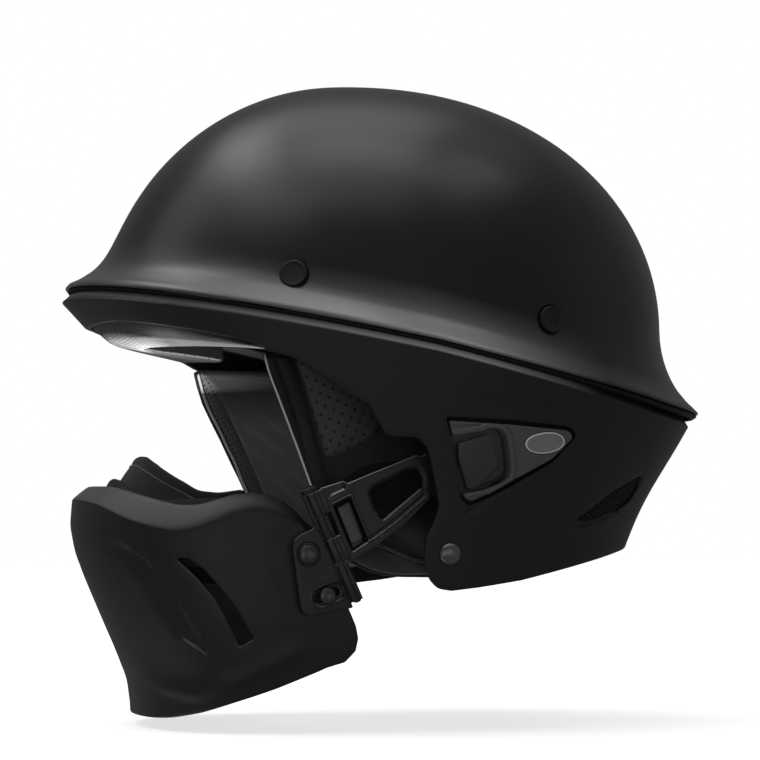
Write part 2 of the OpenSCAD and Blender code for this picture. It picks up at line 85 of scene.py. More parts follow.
def outward(a):
    r = np.radians(a)
    v = np.stack([np.cos(r) / HALF_W, np.sin(r) / (HALF_L + 5), 0 * r], -1)
    return v / np.linalg.norm(v, axis=-1, keepdims=True)


def slice_pt(a, z, o):
    r = np.radians(a)
    f = f_of(z, CROWN_H - o)
    s = np.sin(r)
    y = -14.8 + 15 * f + (4.8 + (HALF_L - o) * f) * s + np.maximum(0, 1 - f) * f * (6.5 + 2.5 * s) + 0.8 * f * np.maximum(0, s) ** 2
    return np.stack([(HALF_W - o) * f * np.cos(r), y, z + 0 * r], -1)


def dome_pt(a, z, o=0.0, g=1.0):
    a, z, o = np.broadcast_arrays(arr(a), arr(z), arr(o))
    k = g * flare(a) * np.exp(-np.maximum(0, z - rim_z(a) - 2) / reach(a))
    return slice_pt(a, z, o) + outward(a) * k[..., None]


def lean(a):
    s = np.sin(np.radians(a))
    return np.where(s < 0, 0.16 + 0.84 * np.abs(s) ** 6, 0.16 + 0.48 * s**4)


def tuck(a):
    s = np.sin(np.radians(a))
    return np.where(s > 0, 4.4 * s * s, 0.0)


def lip(a):
    s = np.sin(np.radians(a))
    return np.where(s < 0, 2.5 * s**6, 0.0)


def bevel(a):
    s = np.sin(np.radians(a))
    return np.where(s < 0, 2 + 2 * s**4, 2.0)


def waist(a, d):
    s = np.sin(np.radians(a))
    return np.where(s > 0, 3.5 * s**4 * ease((d - 12) / 42), 0.0)


def skirt_pt(a, d, o=0.0):
    a, d, o = np.broadcast_arrays(arr(a), arr(d), arr(o))
    z = rim_z(a)
    w = outward(a)
    p = slice_pt(a, z, 0 * z) + w * flare(a)[..., None]
    p[..., 2] = z - d
    k = o + 1 + tuck(a) - lip(a) + np.where(d < 6, bevel(a) * (6 - d) / 3.5, 0) + lean(a) * np.maximum(0, d - 6) + waist(a, d)
    return p - w * k[..., None]


def skirt_at(a, z, o=0.0):
    return skirt_pt(a, rim_z(arr(a)) - z, o)


def skirt_find(y, z):
    """The angle a of the left half where the skirt's face has that Y at that height."""
    y, z = np.broadcast_arrays(arr(y), arr(z))
    lo, hi = np.full(y.shape, -90.0), np.full(y.shape, 90.0)
    for _ in range(40):
        m = (lo + hi) / 2
        up = skirt_at(m, z)[..., 1] < y
        lo, hi = np.where(up, m, lo), np.where(up, hi, m)
    return (lo + hi) / 2


def arm_pt(x, y, z, side=1):
    """A point of an arm's own frame: x outward, y back along the arm, z up the hinge."""
    x, y, z = np.broadcast_arrays(arr(x), arr(y), arr(z))
    c, s = math.cos(TILT), math.sin(TILT)
    return np.stack([side * (HX + x), HY + y * c - z * s, HZ + y * s + z * c], -1)


FRONT_Y = [(-185, -117.5), (-176, -118), (-165, -119.5), (-150, -125.5), (-140, -130), (-117, -140), (-105, -144.5), (-93, -146.8), (-82, -146), (-60, -143)]
SIDE_X = [(-185, -9), (-165, -5.5), (-150, -2.4), (-135, -0.6), (-115, 0), (-100, 0), (-60, -2)]
TOP_Z = [(-150, -74.5), (-140, -75.2), (-128, -79), (-118, -82), (-110, -83.7), (-101, -83.5), (-95, -81.8), (-86, -79.2), (-76, -78), (-69, -79), (-63, -81.7), (-57, -86), (-54, -90), (-48, -95), (-20, -105)]
BOT_Z = [(-150, -181), (-114, -180.6), (-108, -179.8), (-97, -176.9), (-84, -172.2), (-64, -165.3), (-47, -158.5), (-35, -153.2), (-20, -146.6)]


def soft_lut(table, x, w=3.0):
    """The table's value, with its corners rounded over w."""
    return sum(lut(table, x + k * w) * g for k, g in ((-1, 0.12), (-0.5, 0.23), (0, 0.3), (0.5, 0.23), (1, 0.12)))


def mz_xy(t, z, o):
    t, z, o = np.broadcast_arrays(arr(t), arr(z), arr(o))
    u, s = np.abs(t), np.where(t < 0, -1.0, 1.0)
    w = 86.0 + soft_lut(SIDE_X, z) - o
    yf = soft_lut(FRONT_Y, z) + o
    yr = HY - (z - HZ) * math.tan(TILT) - 4.2
    th = np.radians(np.minimum(90, 90 * u / 0.78))
    q = np.maximum(0, (u - 0.78) / 0.22)
    sx, cx = np.sin(th), np.maximum(np.cos(th), 0)
    x = np.where(u <= 0.78, s * w * sx**0.92, s * w)
    y = np.where(u <= 0.78, -62 + (yf + 62) * cx**0.96, -62 + (yr + 62) * q)
    return x, y


def mz_find(y, z):
    """The plan position t of the left half where the muzzle's face has that Y at that height."""
    y, z = np.broadcast_arrays(arr(y), arr(z))
    lo, hi = np.zeros(y.shape), np.full(y.shape, 1.02)
    for _ in range(40):
        m = (lo + hi) / 2
        up = mz_xy(m, z, 0)[1] < y
        lo, hi = np.where(up, m, lo), np.where(up, hi, m)
    return (lo + hi) / 2


# ---------------------------------------------------------------------------
# mesh tools
# ---------------------------------------------------------------------------
def new_object(name, verts, faces, material, smooth=True, sharp=35.0, recalc=True):
    me = bpy.data.meshes.new(name)
    me.from_pydata((np.asarray(verts, float) * MM).tolist(), [], [tuple(int(i) for i in f) for f in faces])
    bm = bmesh.new()
    bm.from_mesh(me)
    bmesh.ops.remove_doubles(bm, verts=bm.verts, dist=1e-6)
    loose = [v for v in bm.verts if not v.link_faces]
    if loose:
        bmesh.ops.delete(bm, geom=loose, context="VERTS")
    if recalc:
        bmesh.ops.recalc_face_normals(bm, faces=bm.faces)
    bm.to_mesh(me)
    bm.free()
    me.validate()
    if smooth:
        me.shade_smooth()
        if sharp:
            me.set_sharp_from_angle(angle=math.radians(sharp))
    ob = bpy.data.objects.new(name, me)
    scene.collection.objects.link(ob)
    if material is not None:
        me.materials.append(material)
    return ob


def mirrored(verts):
    return arr(verts) * [-1, 1, 1]


def join_parts(parts):
    """Several (verts, faces) as one."""
    V, F, n = [], [], 0
    for v, f in parts:
        V.append(arr(v))
        F += [tuple(i + n for i in g) for g in f]
        n += len(v)
    return np.concatenate(V), F


def both_sides(v, f):
    return join_parts([(v, f), (mirrored(v), [tuple(reversed(g)) for g in f])])


def cut_long(loop, step):
    out = []
    for p, q in zip(loop, loop[1:] + loop[:1]):
        n = max(1, int(math.ceil(math.dist(p, q) / step)))
        out += [(p[0] + (q[0] - p[0]) * k / n, p[1] + (q[1] - p[1]) * k / n) for k in range(n)]
    return out


def round_corners(loop, r, n=6):
    """The closed outline with each corner turned into an arc of about r. r is one number or one for each corner."""
    out, m = [], len(loop)
    rs = list(r) if hasattr(r, "__len__") else [r] * m
    for i in range(m):
        p, a, b = Vector(loop[i]), Vector(loop[i - 1]), Vector(loop[(i + 1) % m])
        u, v = a - p, b - p
        lu, lv = u.length, v.length
        u, v = u / lu, v / lv
        ang = math.acos(max(-1, min(1, u.dot(v))))
        if ang > math.radians(176) or rs[i] <= 0:
            out.append(tuple(p))
            continue
        t = min(rs[i] / math.tan(ang / 2), lu * 0.48, lv * 0.48)
        rr = t * math.tan(ang / 2)
        c = p + (u + v).normalized() * (rr / math.sin(ang / 2))
        s, e = p + u * t - c, p + v * t - c
        turn = math.atan2(s.x * e.y - s.y * e.x, s.dot(e))
        k = max(2, int(math.ceil(n * abs(turn) / (math.pi / 2))))
        for j in range(k + 1):
            w = turn * j / k
            out.append((c.x + s.x * math.cos(w) - s.y * math.sin(w), c.y + s.x * math.sin(w) + s.y * math.cos(w)))
    return out


def circle(cx, cy, r, n=48):
    return [(cx + r * math.cos(2 * math.pi * i / n), cy + r * math.sin(2 * math.pi * i / n)) for i in range(n)]


def pill(cx, cy, half, r, ang=0.0, n=16):
    """A slot outline: half is half the distance between the two end circles."""
    c, s = math.cos(ang), math.sin(ang)
    pts = [(half + r * math.cos(-math.pi / 2 + math.pi * i / n), r * math.sin(-math.pi / 2 + math.pi * i / n)) for i in range(n + 1)]
    pts += [(-half + r * math.cos(math.pi / 2 + math.pi * i / n), r * math.sin(math.pi / 2 + math.pi * i / n)) for i in range(n + 1)]
    return [(cx + x * c - y * s, cy + x * s + y * c) for x, y in pts]


def seg_dist(P, S):
    """Distance of each point of P to the nearest of the segments S (k, 4)."""
    P, S = arr(P), arr(S)
    out = np.full(len(P), 1e9)
    a, d = S[:, :2], S[:, 2:] - S[:, :2]
    L = np.maximum((d**2).sum(1), 1e-12)
    for i in range(0, len(P), 4000):
        p = P[i : i + 4000]
        w = p[:, None, :] - a[None]
        t = np.clip((w * d[None]).sum(2) / L, 0, 1)
        q = w - t[..., None] * d[None]
        out[i : i + 4000] = np.sqrt((q**2).sum(2).min(1))
    return out


def inside(P, loops):
    P = arr(P)
    odd = np.zeros(len(P), bool)
    for loop in loops:
        q = arr(loop)
        a, b = q, np.roll(q, -1, 0)
        for i in range(len(q)):
            y0, y1 = a[i, 1], b[i, 1]
            if y0 == y1:
                continue
            c = (P[:, 1] >= min(y0, y1)) & (P[:, 1] < max(y0, y1))
            x = a[i, 0] + (P[:, 1] - y0) * (b[i, 0] - a[i, 0]) / (y1 - y0)
            odd ^= c & (P[:, 0] < x)
    return odd


def flat_fill(outer, holes, step, rings, seam=None, extra=None, edge_step=None, grid=None):
    """Triangles of a flat outline with holes: points, faces, distance to the edge, and the edge's own pairs."""
    es = edge_step or step * 0.6
    loops = [cut_long(list(map(tuple, l)), es) for l in [outer] + list(holes)]
    segs, edges, pts = [], [], []
    for loop in loops:
        n0 = len(pts)
        m = len(loop)
        for i in range(m):
            p, q = loop[i], loop[(i + 1) % m]
            edges.append((n0 + i, n0 + (i + 1) % m))
            if not (seam and seam(p) and seam(q)):
                segs.append((*p, *q))
        pts += loop
    segs = arr(segs)
    cand = []
    for loop in loops:
        L = arr(loop)
        T = np.roll(L, -1, 0) - np.roll(L, 1, 0)
        T /= np.maximum(np.linalg.norm(T, axis=1, keepdims=True), 1e-9)
        N = np.stack([-T[:, 1], T[:, 0]], 1)
        for d in rings:
            for sgn in (1, -1):
                q = L + N * d * sgn
                cand.append((q, d))
    for q, d in cand:
        ok = inside(q, loops)
        q = q[ok]
        if len(q) == 0:
            continue
        ok = seg_dist(q, segs) > d * 0.93
        if seam:
            ok &= ~np.array([seam((x * 1.0, y)) for x, y in q])
        pts += [tuple(p) for p in q[ok]]
    lo, hi = arr(loops[0]).min(0), arr(loops[0]).max(0)
    if grid is None:
        g = []
        row = 0
        y = lo[1] + step * 0.4
        while y < hi[1]:
            x0 = lo[0] + (step / 2 if row % 2 else 0)
            xs = np.arange(x0, hi[0], step)
            g.append(np.stack([xs, np.full(len(xs), y)], 1))
            y += step * 0.866
            row += 1
        g = np.concatenate(g)
    else:
        g = arr(grid)
    g = g[inside(g, loops)]
    last = max(rings) if len(rings) else 0
    g = g[seg_dist(g, segs) > max(last + step * 0.45, step * 0.5)]
    if seam:
        sp = arr([p for p in pts[: sum(len(l) for l in loops)] if seam(p)])
        if len(sp):
            keep = np.ones(len(g), bool)
            for i in range(0, len(g), 4000):
                keep[i : i + 4000] = np.sqrt(((g[i : i + 4000, None] - sp[None]) ** 2).sum(2)).min(1) > step * 0.45
            g = g[keep]
    pts += [tuple(p) for p in g]
    if extra is not None and len(extra):
        e = arr(extra)
        e = e[inside(e, loops)]
        e = e[seg_dist(e, segs) > last + 0.15]
        pts += [tuple(p) for p in e]
    res = delaunay_2d_cdt([Vector(p) for p in pts], edges, [], 0, 1e-5)
    P = arr([tuple(v) for v in res[0]])
    F = [tuple(f) for f in res[2]]
    C = arr([P[list(f)].mean(0) for f in F])
    keep = inside(C, loops)
    F = [f for f, k in zip(F, keep) if k]
    D = seg_dist(P, segs)
    count = {}
    for f in F:
        for i in range(3):
            e = (f[i], f[(i + 1) % 3])
            k = (min(e), max(e))
            count[k] = count.get(k, 0) + 1
    rim = []
    for f in F:
        for i in range(3):
            e = (f[i], f[(i + 1) % 3])
            if count[(min(e), max(e))] == 1:
                if seam and seam(P[e[0]]) and seam(P[e[1]]):
                    continue
                rim.append(e)
    return P, F, D, rim


def shell_from(fill, fn, top, bottom, r=0.6, rb=0.0):
    """A closed plate over a flat fill: fn(u, v, o) gives the points of the layer o."""
    P, F, D, rim = fill
    u, v = P[:, 0], P[:, 1]

    def drop(rad):
        if rad <= 0:
            return np.zeros(len(P))
        k = np.clip(rad - D, 0, rad)
        return rad - np.sqrt(np.maximum(rad * rad - k * k, 0))

    ot = (top(u, v) if callable(top) else np.full(len(P), float(top))) + drop(r)
    ob = (bottom(u, v) if callable(bottom) else np.full(len(P), float(bottom))) - drop(rb)
    n = len(P)
    V = np.concatenate([fn(u, v, ot), fn(u, v, ob)])
    faces = [f for f in F] + [(f[0] + n, f[2] + n, f[1] + n) for f in F]
    for a, b in rim:
        faces.append((b, a, a + n, b + n))
    return V, faces


def rings_for(r):
    return [r * 0.13, r * 0.5, r] if r > 0 else []


def plate(outer, holes, fn, top, bottom, step=2.0, r=0.6, rb=0.0, seam=None, extra=None, edge_step=None, grid=None, more=()):
    fill = flat_fill(outer, holes, step, sorted(set(rings_for(max(r, rb)) + list(more))), seam, extra, edge_step, grid)
    return shell_from(fill, fn, top, bottom, r, rb)


def lathe(profile, n=48, close=True):
    """A solid of revolution about Z from (r, z) pairs."""
    V, F = [], []
    m = len(profile)
    idx = []
    for r, z in profile:
        if r < 1e-6:
            idx.append([len(V)] * n)
            V.append((0, 0, z))
        else:
            idx.append(list(range(len(V), len(V) + n)))
            V += [(r * math.cos(2 * math.pi * i / n), r * math.sin(2 * math.pi * i / n), z) for i in range(n)]
    for k in range(m - 1 if not close else m):
        a, b = idx[k], idx[(k + 1) % m]
        for i in range(n):
            j = (i + 1) % n
            f = [a[i], a[j], b[j], b[i]]
            g = []
            for x in f:
                if x not in g:
                    g.append(x)
            if len(g) >= 3:
                F.append(tuple(g))
    return arr(V), F


def placed(v, origin, axis, up=(0, 0, 1)):
    """Moves points so that their Z lies along axis at origin."""
    z = Vector(axis).normalized()
    x = Vector(up).cross(z)
    x = x.normalized() if x.length > 1e-6 else Vector((1, 0, 0))
    y = z.cross(x)
    M = arr([x, y, z]).T
    return arr(v) @ M.T + arr(origin)


def sweep(path, section, closed=False, ups=None, caps=True):
    """A tube along path; section(k, t) gives 2D points (side, up) at ring k of t in 0..1."""
    path = arr(path)
    n = len(path)
    V, F = [], []
    T = np.gradient(path, axis=0) if not closed else np.roll(path, -1, 0) - np.roll(path, 1, 0)
    T /= np.linalg.norm(T, axis=1, keepdims=True)
    m = None
    for k in range(n):
        u = arr(ups[k] if ups is not None else (0, 0, 1))
        s = np.cross(T[k], u)
        s /= np.linalg.norm(s)
        w = np.cross(s, T[k])
        pts = arr(section(k, k / max(1, n - 1)))
        m = len(pts)
        V += [path[k] + s * q[0] + w * q[1] for q in pts]
    for k in range(n if closed else n - 1):
        k2 = (k + 1) % n
        for i in range(m):
            j = (i + 1) % m
            F.append((k * m + i, k * m + j, k2 * m + j, k2 * m + i))
    if not closed and caps:
        F.append(tuple(range(m - 1, -1, -1)))
        F.append(tuple((n - 1) * m + i for i in range(m)))
    return arr(V), F


def catmull(points, n):
    """n points on a smooth curve through the given ones, evenly by length."""
    P = arr(points)
    ext = np.vstack([2 * P[0] - P[1], P, 2 * P[-1] - P[-2]])
    out = []
    for i in range(1, len(ext) - 2):
        p0, p1, p2, p3 = ext[i - 1 : i + 3]
        for k in range(16):
            t = k / 16
            out.append(0.5 * (2 * p1 + (p2 - p0) * t + (2 * p0 - 5 * p1 + 4 * p2 - p3) * t**2 + (3 * p1 - p0 - 3 * p2 + p3) * t**3))
    out.append(P[-1])
    out = arr(out)
    L = np.concatenate([[0], np.cumsum(np.linalg.norm(np.diff(out, axis=0), axis=1))])
    q = np.linspace(0, L[-1], n)
    return np.stack([np.interp(q, L, out[:, i]) for i in range(out.shape[1])], 1)


# ---------------------------------------------------------------------------
# materials
# ---------------------------------------------------------------------------
def material(name, base, rough, spec=0.5, metal=0.0, sheen=0.0, coat=0.0, coat_rough=0.3):
    """A material with its Principled shader and a small builder for its nodes."""
    m = bpy.data.materials.new(name)
    m.use_nodes = True
    nt = m.node_tree
    bs = nt.nodes["Principled BSDF"]
    bs.inputs["Base Color"].default_value = (*base, 1)
    bs.inputs["Roughness"].default_value = rough
    bs.inputs["Specular IOR Level"].default_value = spec
    bs.inputs["Metallic"].default_value = metal
    bs.inputs["Sheen Weight"].default_value = sheen
    bs.inputs["Sheen Roughness"].default_value = 0.5
    bs.inputs["Coat Weight"].default_value = coat
    bs.inputs["Coat Roughness"].default_value = coat_rough
    return m, nt, bs


def node(nt, kind, **kw):
    n = nt.nodes.new(kind)
    for k, v in kw.items():
        if k.startswith("i_"):
            n.inputs[k[2:].replace("_", " ")].default_value = v
        else:
            setattr(n, k, v)
    return n


def coords(nt, scale=(1, 1, 1), rot=(0, 0, 0)):
    t = node(nt, "ShaderNodeTexCoord")
    m = node(nt, "ShaderNodeMapping")
    m.inputs["Scale"].default_value = scale
    m.inputs["Rotation"].default_value = rot
    nt.links.new(t.outputs["Object"], m.inputs["Vector"])
    return m.outputs["Vector"]


def noise(nt, vec, scale, detail=4.0, rough=0.5, dist=0.0):
    n = node(nt, "ShaderNodeTexNoise")
    n.inputs["Scale"].default_value = scale
    n.inputs["Detail"].default_value = detail
    n.inputs["Roughness"].default_value = rough
    n.inputs["Distortion"].default_value = dist
    nt.links.new(vec, n.inputs["Vector"])
    return n.outputs["Fac"]


def remap(nt, fac, a, b, lo=0.3, hi=0.7):
    r = node(nt, "ShaderNodeMapRange")
    r.inputs["From Min"].default_value = lo
    r.inputs["From Max"].default_value = hi
    r.inputs["To Min"].default_value = a
    r.inputs["To Max"].default_value = b
    nt.links.new(fac, r.inputs["Value"])
    return r.outputs["Result"]


def ramp(nt, fac, stops):
    r = node(nt, "ShaderNodeValToRGB")
    e = r.color_ramp.elements
    while len(e) < len(stops):
        e.new(0.5)
    for k, (p, c) in enumerate(stops):
        e[k].position = p
        e[k].color = (*c, 1)
    nt.links.new(fac, r.inputs["Fac"])
    return r.outputs["Color"]


def math_node(nt, op, a, b=None, c=None, clamp=False):
    n = node(nt, "ShaderNodeMath", operation=op, use_clamp=clamp)
    for i, x in enumerate((a, b, c)):
        if x is None:
            continue
        if hasattr(x, "links"):
            nt.links.new(x, n.inputs[i])
        else:
            n.inputs[i].default_value = x
    return n.outputs[0]


def bump(nt, bs, height, strength, dist, normal=None):
    b = node(nt, "ShaderNodeBump")
    b.inputs["Strength"].default_value = strength
    b.inputs["Distance"].default_value = dist
    nt.links.new(height, b.inputs["Height"])
    if normal is not None:
        nt.links.new(normal, b.inputs["Normal"])
    nt.links.new(b.outputs["Normal"], bs.inputs["Normal"])
    return b.outputs["Normal"]


def edge_wear(nt, colour_socket, tint, amount=0.5, lo=0.52, hi=0.6):
    """Lightens convex edges, where a moulding gets rubbed."""
    g = node(nt, "ShaderNodeNewGeometry")
    f = remap(nt, g.outputs["Pointiness"], 0.0, amount, lo, hi)
    n = noise(nt, coords(nt), 220, 3)
    f = math_node(nt, "MULTIPLY", f, remap(nt, n, 0.4, 1.0), clamp=True)
    mx = node(nt, "ShaderNodeMix", data_type="RGBA")
    mx.inputs["B"].default_value = (*tint, 1)
    nt.links.new(f, mx.inputs["Factor"])
    nt.links.new(colour_socket, mx.inputs["A"])
    return mx.outputs["Result"]


def moulded(name, base, rough, spread=0.05, grain=900, bump_mm=0.03, tone=0.12, spec=0.5, wear=None, mottled=0.0):
    """Moulded plastic: a fine grain, soft patches of handling sheen and slight tone shifts."""
    m, nt, bs = material(name, base, rough, spec)
    c = coords(nt)
    fine = noise(nt, c, grain, 2)
    wide = noise(nt, c, 14, 4)
    mid = noise(nt, c, 70, 5, 0.6)
    lo = tuple(x * (1 - tone) for x in base)
    hi = tuple(x * (1 + tone) for x in base)
    col = ramp(nt, wide, [(0.3, lo), (0.7, hi)])
    if wear:
        col = edge_wear(nt, col, *wear)
    nt.links.new(col, bs.inputs["Base Color"])
    r = math_node(nt, "ADD", remap(nt, wide, rough - spread, rough + spread), remap(nt, mid, -spread * 0.5, spread * 0.5), clamp=True)
    nt.links.new(r, bs.inputs["Roughness"])
    n = bump(nt, bs, fine, 0.5, bump_mm * MM)
    if mottled:
        bump(nt, bs, mid, 0.4, mottled * MM, n)
    return m


def gloss_and_painted_highlight(m, front, rear, base_mm, lo, hi, coat, coat_rough, tint=None, fade=None):
    """More gloss in a band over or under the rim, where hands rub it, and with tint a painted highlight there: the
    paler base colour stands in for the light the band catches. Height is taken from the sloping rim line.
    """
    nt = m.node_tree
    bs = nt.nodes["Principled BSDF"]
    sep = node(nt, "ShaderNodeSeparateXYZ")
    t = node(nt, "ShaderNodeTexCoord")
    nt.links.new(t.outputs["Object"], sep.inputs[0])
    ahead = math_node(nt, "MULTIPLY", math_node(nt, "MINIMUM", sep.outputs["Y"], 0.0), front)
    behind = math_node(nt, "MULTIPLY", math_node(nt, "MAXIMUM", sep.outputs["Y"], 0.0), rear)
    h = math_node(nt, "ADD", math_node(nt, "ADD", sep.outputs["Z"], math_node(nt, "ADD", ahead, behind)), -base_mm * MM)
    up = remap(nt, h, 0.0, 1.0, lo[0] * MM, lo[1] * MM)
    down = remap(nt, h, 1.0, 0.0, hi[0] * MM, hi[1] * MM)
    k = math_node(nt, "MULTIPLY", up, down, clamp=True)
    if fade:
        k = math_node(nt, "MULTIPLY", k, remap(nt, sep.outputs["Y"], 1.0, 0.0, fade[0] * MM, fade[1] * MM))
        k = math_node(nt, "MULTIPLY", k, remap(nt, sep.outputs["Y"], 0.2, 1.0, fade[2] * MM, fade[3] * MM))
    # painted highlight: the band's base colour is lightened towards tint
    if tint:
        src = bs.inputs["Base Color"].links[0].from_socket
        mx = node(nt, "ShaderNodeMix", data_type="RGBA")
        mx.inputs["B"].default_value = (*tint, 1)
        nt.links.new(k, mx.inputs["Factor"])
        nt.links.new(src, mx.inputs["A"])
        nt.links.new(mx.outputs["Result"], bs.inputs["Base Color"])
    nt.links.new(math_node(nt, "MULTIPLY", k, coat), bs.inputs["Coat Weight"])
    bs.inputs["Coat Roughness"].default_value = coat_rough
    return k


def knit(name, base, pitch=1.1, rough=0.85, tone=0.25):
    """A brushed knit: fine crossing ribs, fuzz and soft sheen."""
    m, nt, bs = material(name, base, rough, 0.3, sheen=0.6)
    k = 1000 / pitch
    c = coords(nt)
    w1 = node(nt, "ShaderNodeTexWave", wave_type="BANDS", bands_direction="DIAGONAL")
    w1.inputs["Scale"].default_value = k / 22
    w1.inputs["Distortion"].default_value = 0.6
    w1.inputs["Detail"].default_value = 1
    nt.links.new(c, w1.inputs["Vector"])
    c2 = coords(nt, rot=(0.3, 1.4, 0.5))
    w2 = node(nt, "ShaderNodeTexWave", wave_type="BANDS", bands_direction="DIAGONAL")
    w2.inputs["Scale"].default_value = k / 22
    w2.inputs["Distortion"].default_value = 0.6
    nt.links.new(c2, w2.inputs["Vector"])
    mix = math_node(nt, "MULTIPLY", w1.outputs["Fac"], w2.outputs["Fac"])
    fuzz = noise(nt, c, 500, 4)
    h = math_node(nt, "ADD", mix, math_node(nt, "MULTIPLY", fuzz, 0.6))
    wide = noise(nt, c, 30, 4)
    col = ramp(nt, math_node(nt, "ADD", math_node(nt, "MULTIPLY", mix, 0.5), math_node(nt, "MULTIPLY", wide, 0.5)),
               [(0.15, tuple(x * (1 - tone) for x in base)), (0.75, tuple(x * (1 + tone) for x in base))])
    nt.links.new(col, bs.inputs["Base Color"])
    bump(nt, bs, h, 0.6, 0.25 * MM)
    return m


def leather(name, base, holes=None, rough=0.55, tone=0.15, plane="YZ", angle=0.6, hole_d=1.1, dark=0.08, grain=260):
    """Synthetic leather: a pebbled grain, creases and, where holes gives their pitch in mm, rows of perforations."""
    m, nt, bs = material(name, base, rough, 0.45, sheen=0.15)
    c = coords(nt)
    v = node(nt, "ShaderNodeTexVoronoi", feature="DISTANCE_TO_EDGE")
    v.inputs["Scale"].default_value = grain * 2.2
    nt.links.new(c, v.inputs["Vector"])
    cell = remap(nt, v.outputs["Distance"], 0, 1, 0.0, 0.22)
    wide = noise(nt, c, 26, 5, 0.6)
    fine = noise(nt, c, 700, 3)
    col = ramp(nt, wide, [(0.3, tuple(x * (1 - tone) for x in base)), (0.7, tuple(x * (1 + tone) for x in base))])
    h = math_node(nt, "ADD", math_node(nt, "MULTIPLY", cell, 0.5), math_node(nt, "MULTIPLY", fine, 0.3))
    n = bump(nt, bs, h, 0.35, 0.12 * MM)
    if holes:
        sep = node(nt, "ShaderNodeSeparateXYZ")
        nt.links.new(coords(nt, rot=(angle, 0, 0)) if plane == "YZ" else coords(nt, rot=(0, 0, angle)), sep.inputs[0])
        a, b = ("Y", "Z") if plane == "YZ" else ("X", "Y")
        p = holes * MM
        s = math.sqrt(0.5)
        u = math_node(nt, "MULTIPLY", math_node(nt, "ADD", sep.outputs[a], sep.outputs[b]), s / p)
        w = math_node(nt, "MULTIPLY", math_node(nt, "SUBTRACT", sep.outputs[a], sep.outputs[b]), s / p)
        du = math_node(nt, "SUBTRACT", math_node(nt, "FRACT", math_node(nt, "ADD", u, 50.0)), 0.5)
        dw = math_node(nt, "SUBTRACT", math_node(nt, "FRACT", math_node(nt, "ADD", w, 50.0)), 0.5)
        r2 = math_node(nt, "SQRT", math_node(nt, "ADD", math_node(nt, "POWER", du, 2.0), math_node(nt, "POWER", dw, 2.0)))
        rr = hole_d / 2 / holes
        dot = remap(nt, r2, 1.0, 0.0, rr * 0.75, rr * 1.15)
        mx = node(nt, "ShaderNodeMix", data_type="RGBA")
        mx.inputs["B"].default_value = (*(x * dark for x in base), 1)
        nt.links.new(dot, mx.inputs["Factor"])
        nt.links.new(col, mx.inputs["A"])
        col = mx.outputs["Result"]
        bump(nt, bs, math_node(nt, "SUBTRACT", 1.0, dot), 0.9, 0.5 * MM, n)
    nt.links.new(col, bs.inputs["Base Color"])
    nt.links.new(remap(nt, wide, rough - 0.08, rough + 0.08), bs.inputs["Roughness"])
    return m


def metal(name, base, rough, spread=0.06, brushed=True):
    m, nt, bs = material(name, base, rough, 0.5, 1.0)
    c = coords(nt, scale=(1, 1, 14) if brushed else (1, 1, 1))
    fine = noise(nt, c, 420, 4)
    wide = noise(nt, coords(nt), 60, 4)
    col = ramp(nt, wide, [(0.3, tuple(x * 0.82 for x in base)), (0.7, tuple(min(1, x * 1.1) for x in base))])
    nt.links.new(col, bs.inputs["Base Color"])
    nt.links.new(remap(nt, fine, rough - spread, rough + spread), bs.inputs["Roughness"])
    bump(nt, bs, fine, 0.2, 0.02 * MM)
    return m


M_DOME = moulded("matte_black_shell", (0.0055, 0.0055, 0.0057), 0.32, 0.02, 1400, 0.010, 0.10, 0.5, mottled=0.010)
M_SKIRT = moulded("matte_black_skirt", (0.0105, 0.0105, 0.0108), 0.5, 0.04, 1100, 0.03, 0.12, 0.45, wear=((0.02, 0.02, 0.0205), 0.2), mottled=0.02)
M_MUZZLE = moulded("muzzle_black", (0.0105, 0.0105, 0.0108), 0.46, 0.04, 1100, 0.03, 0.12, 0.5, wear=((0.02, 0.02, 0.0205), 0.2), mottled=0.02)
# painted highlight: a pale band on the dome's flare and a pale line along the skirt's top edge, for the light they
# catch from above
gloss_and_painted_highlight(M_DOME, 0.197, 0.238, -11.0, (-3.0, -2.0), (4.0, 24.0), 1.0, 0.26, (0.2, 0.2, 0.202), (18, 84, -100, 0))
gloss_and_painted_highlight(M_SKIRT, 0.197, 0.238, -11.0, (-5.4, -4.4), (-2.4, -1.2), 1.0, 0.3, (0.5, 0.5, 0.503), (20, 80, -110, 10))


def painted_top_highlight(m, lo, hi, tint, fade=None):
    """Painted highlight: faces turned upwards are painted paler, for the light they catch from above. lo to hi is how
    far up they look.
    """
    nt = m.node_tree
    bs = nt.nodes["Principled BSDF"]
    t = node(nt, "ShaderNodeTexCoord")
    sep = node(nt, "ShaderNodeSeparateXYZ")
    nt.links.new(t.outputs["Normal"], sep.inputs[0])
    src = bs.inputs["Base Color"].links[0].from_socket
    mx = node(nt, "ShaderNodeMix", data_type="RGBA")
    mx.inputs["B"].default_value = (*tint, 1)
    k = remap(nt, sep.outputs["Z"], 0.0, 1.0, lo, hi)
    if fade:
        at = node(nt, "ShaderNodeSeparateXYZ")
        nt.links.new(t.outputs["Object"], at.inputs[0])
        k = math_node(nt, "MULTIPLY", k, remap(nt, at.outputs["Y"], 1.0, 0.1, fade[0] * MM, fade[1] * MM))
    nt.links.new(k, mx.inputs["Factor"])
    nt.links.new(src, mx.inputs["A"])
    nt.links.new(mx.outputs["Result"], bs.inputs["Base Color"])
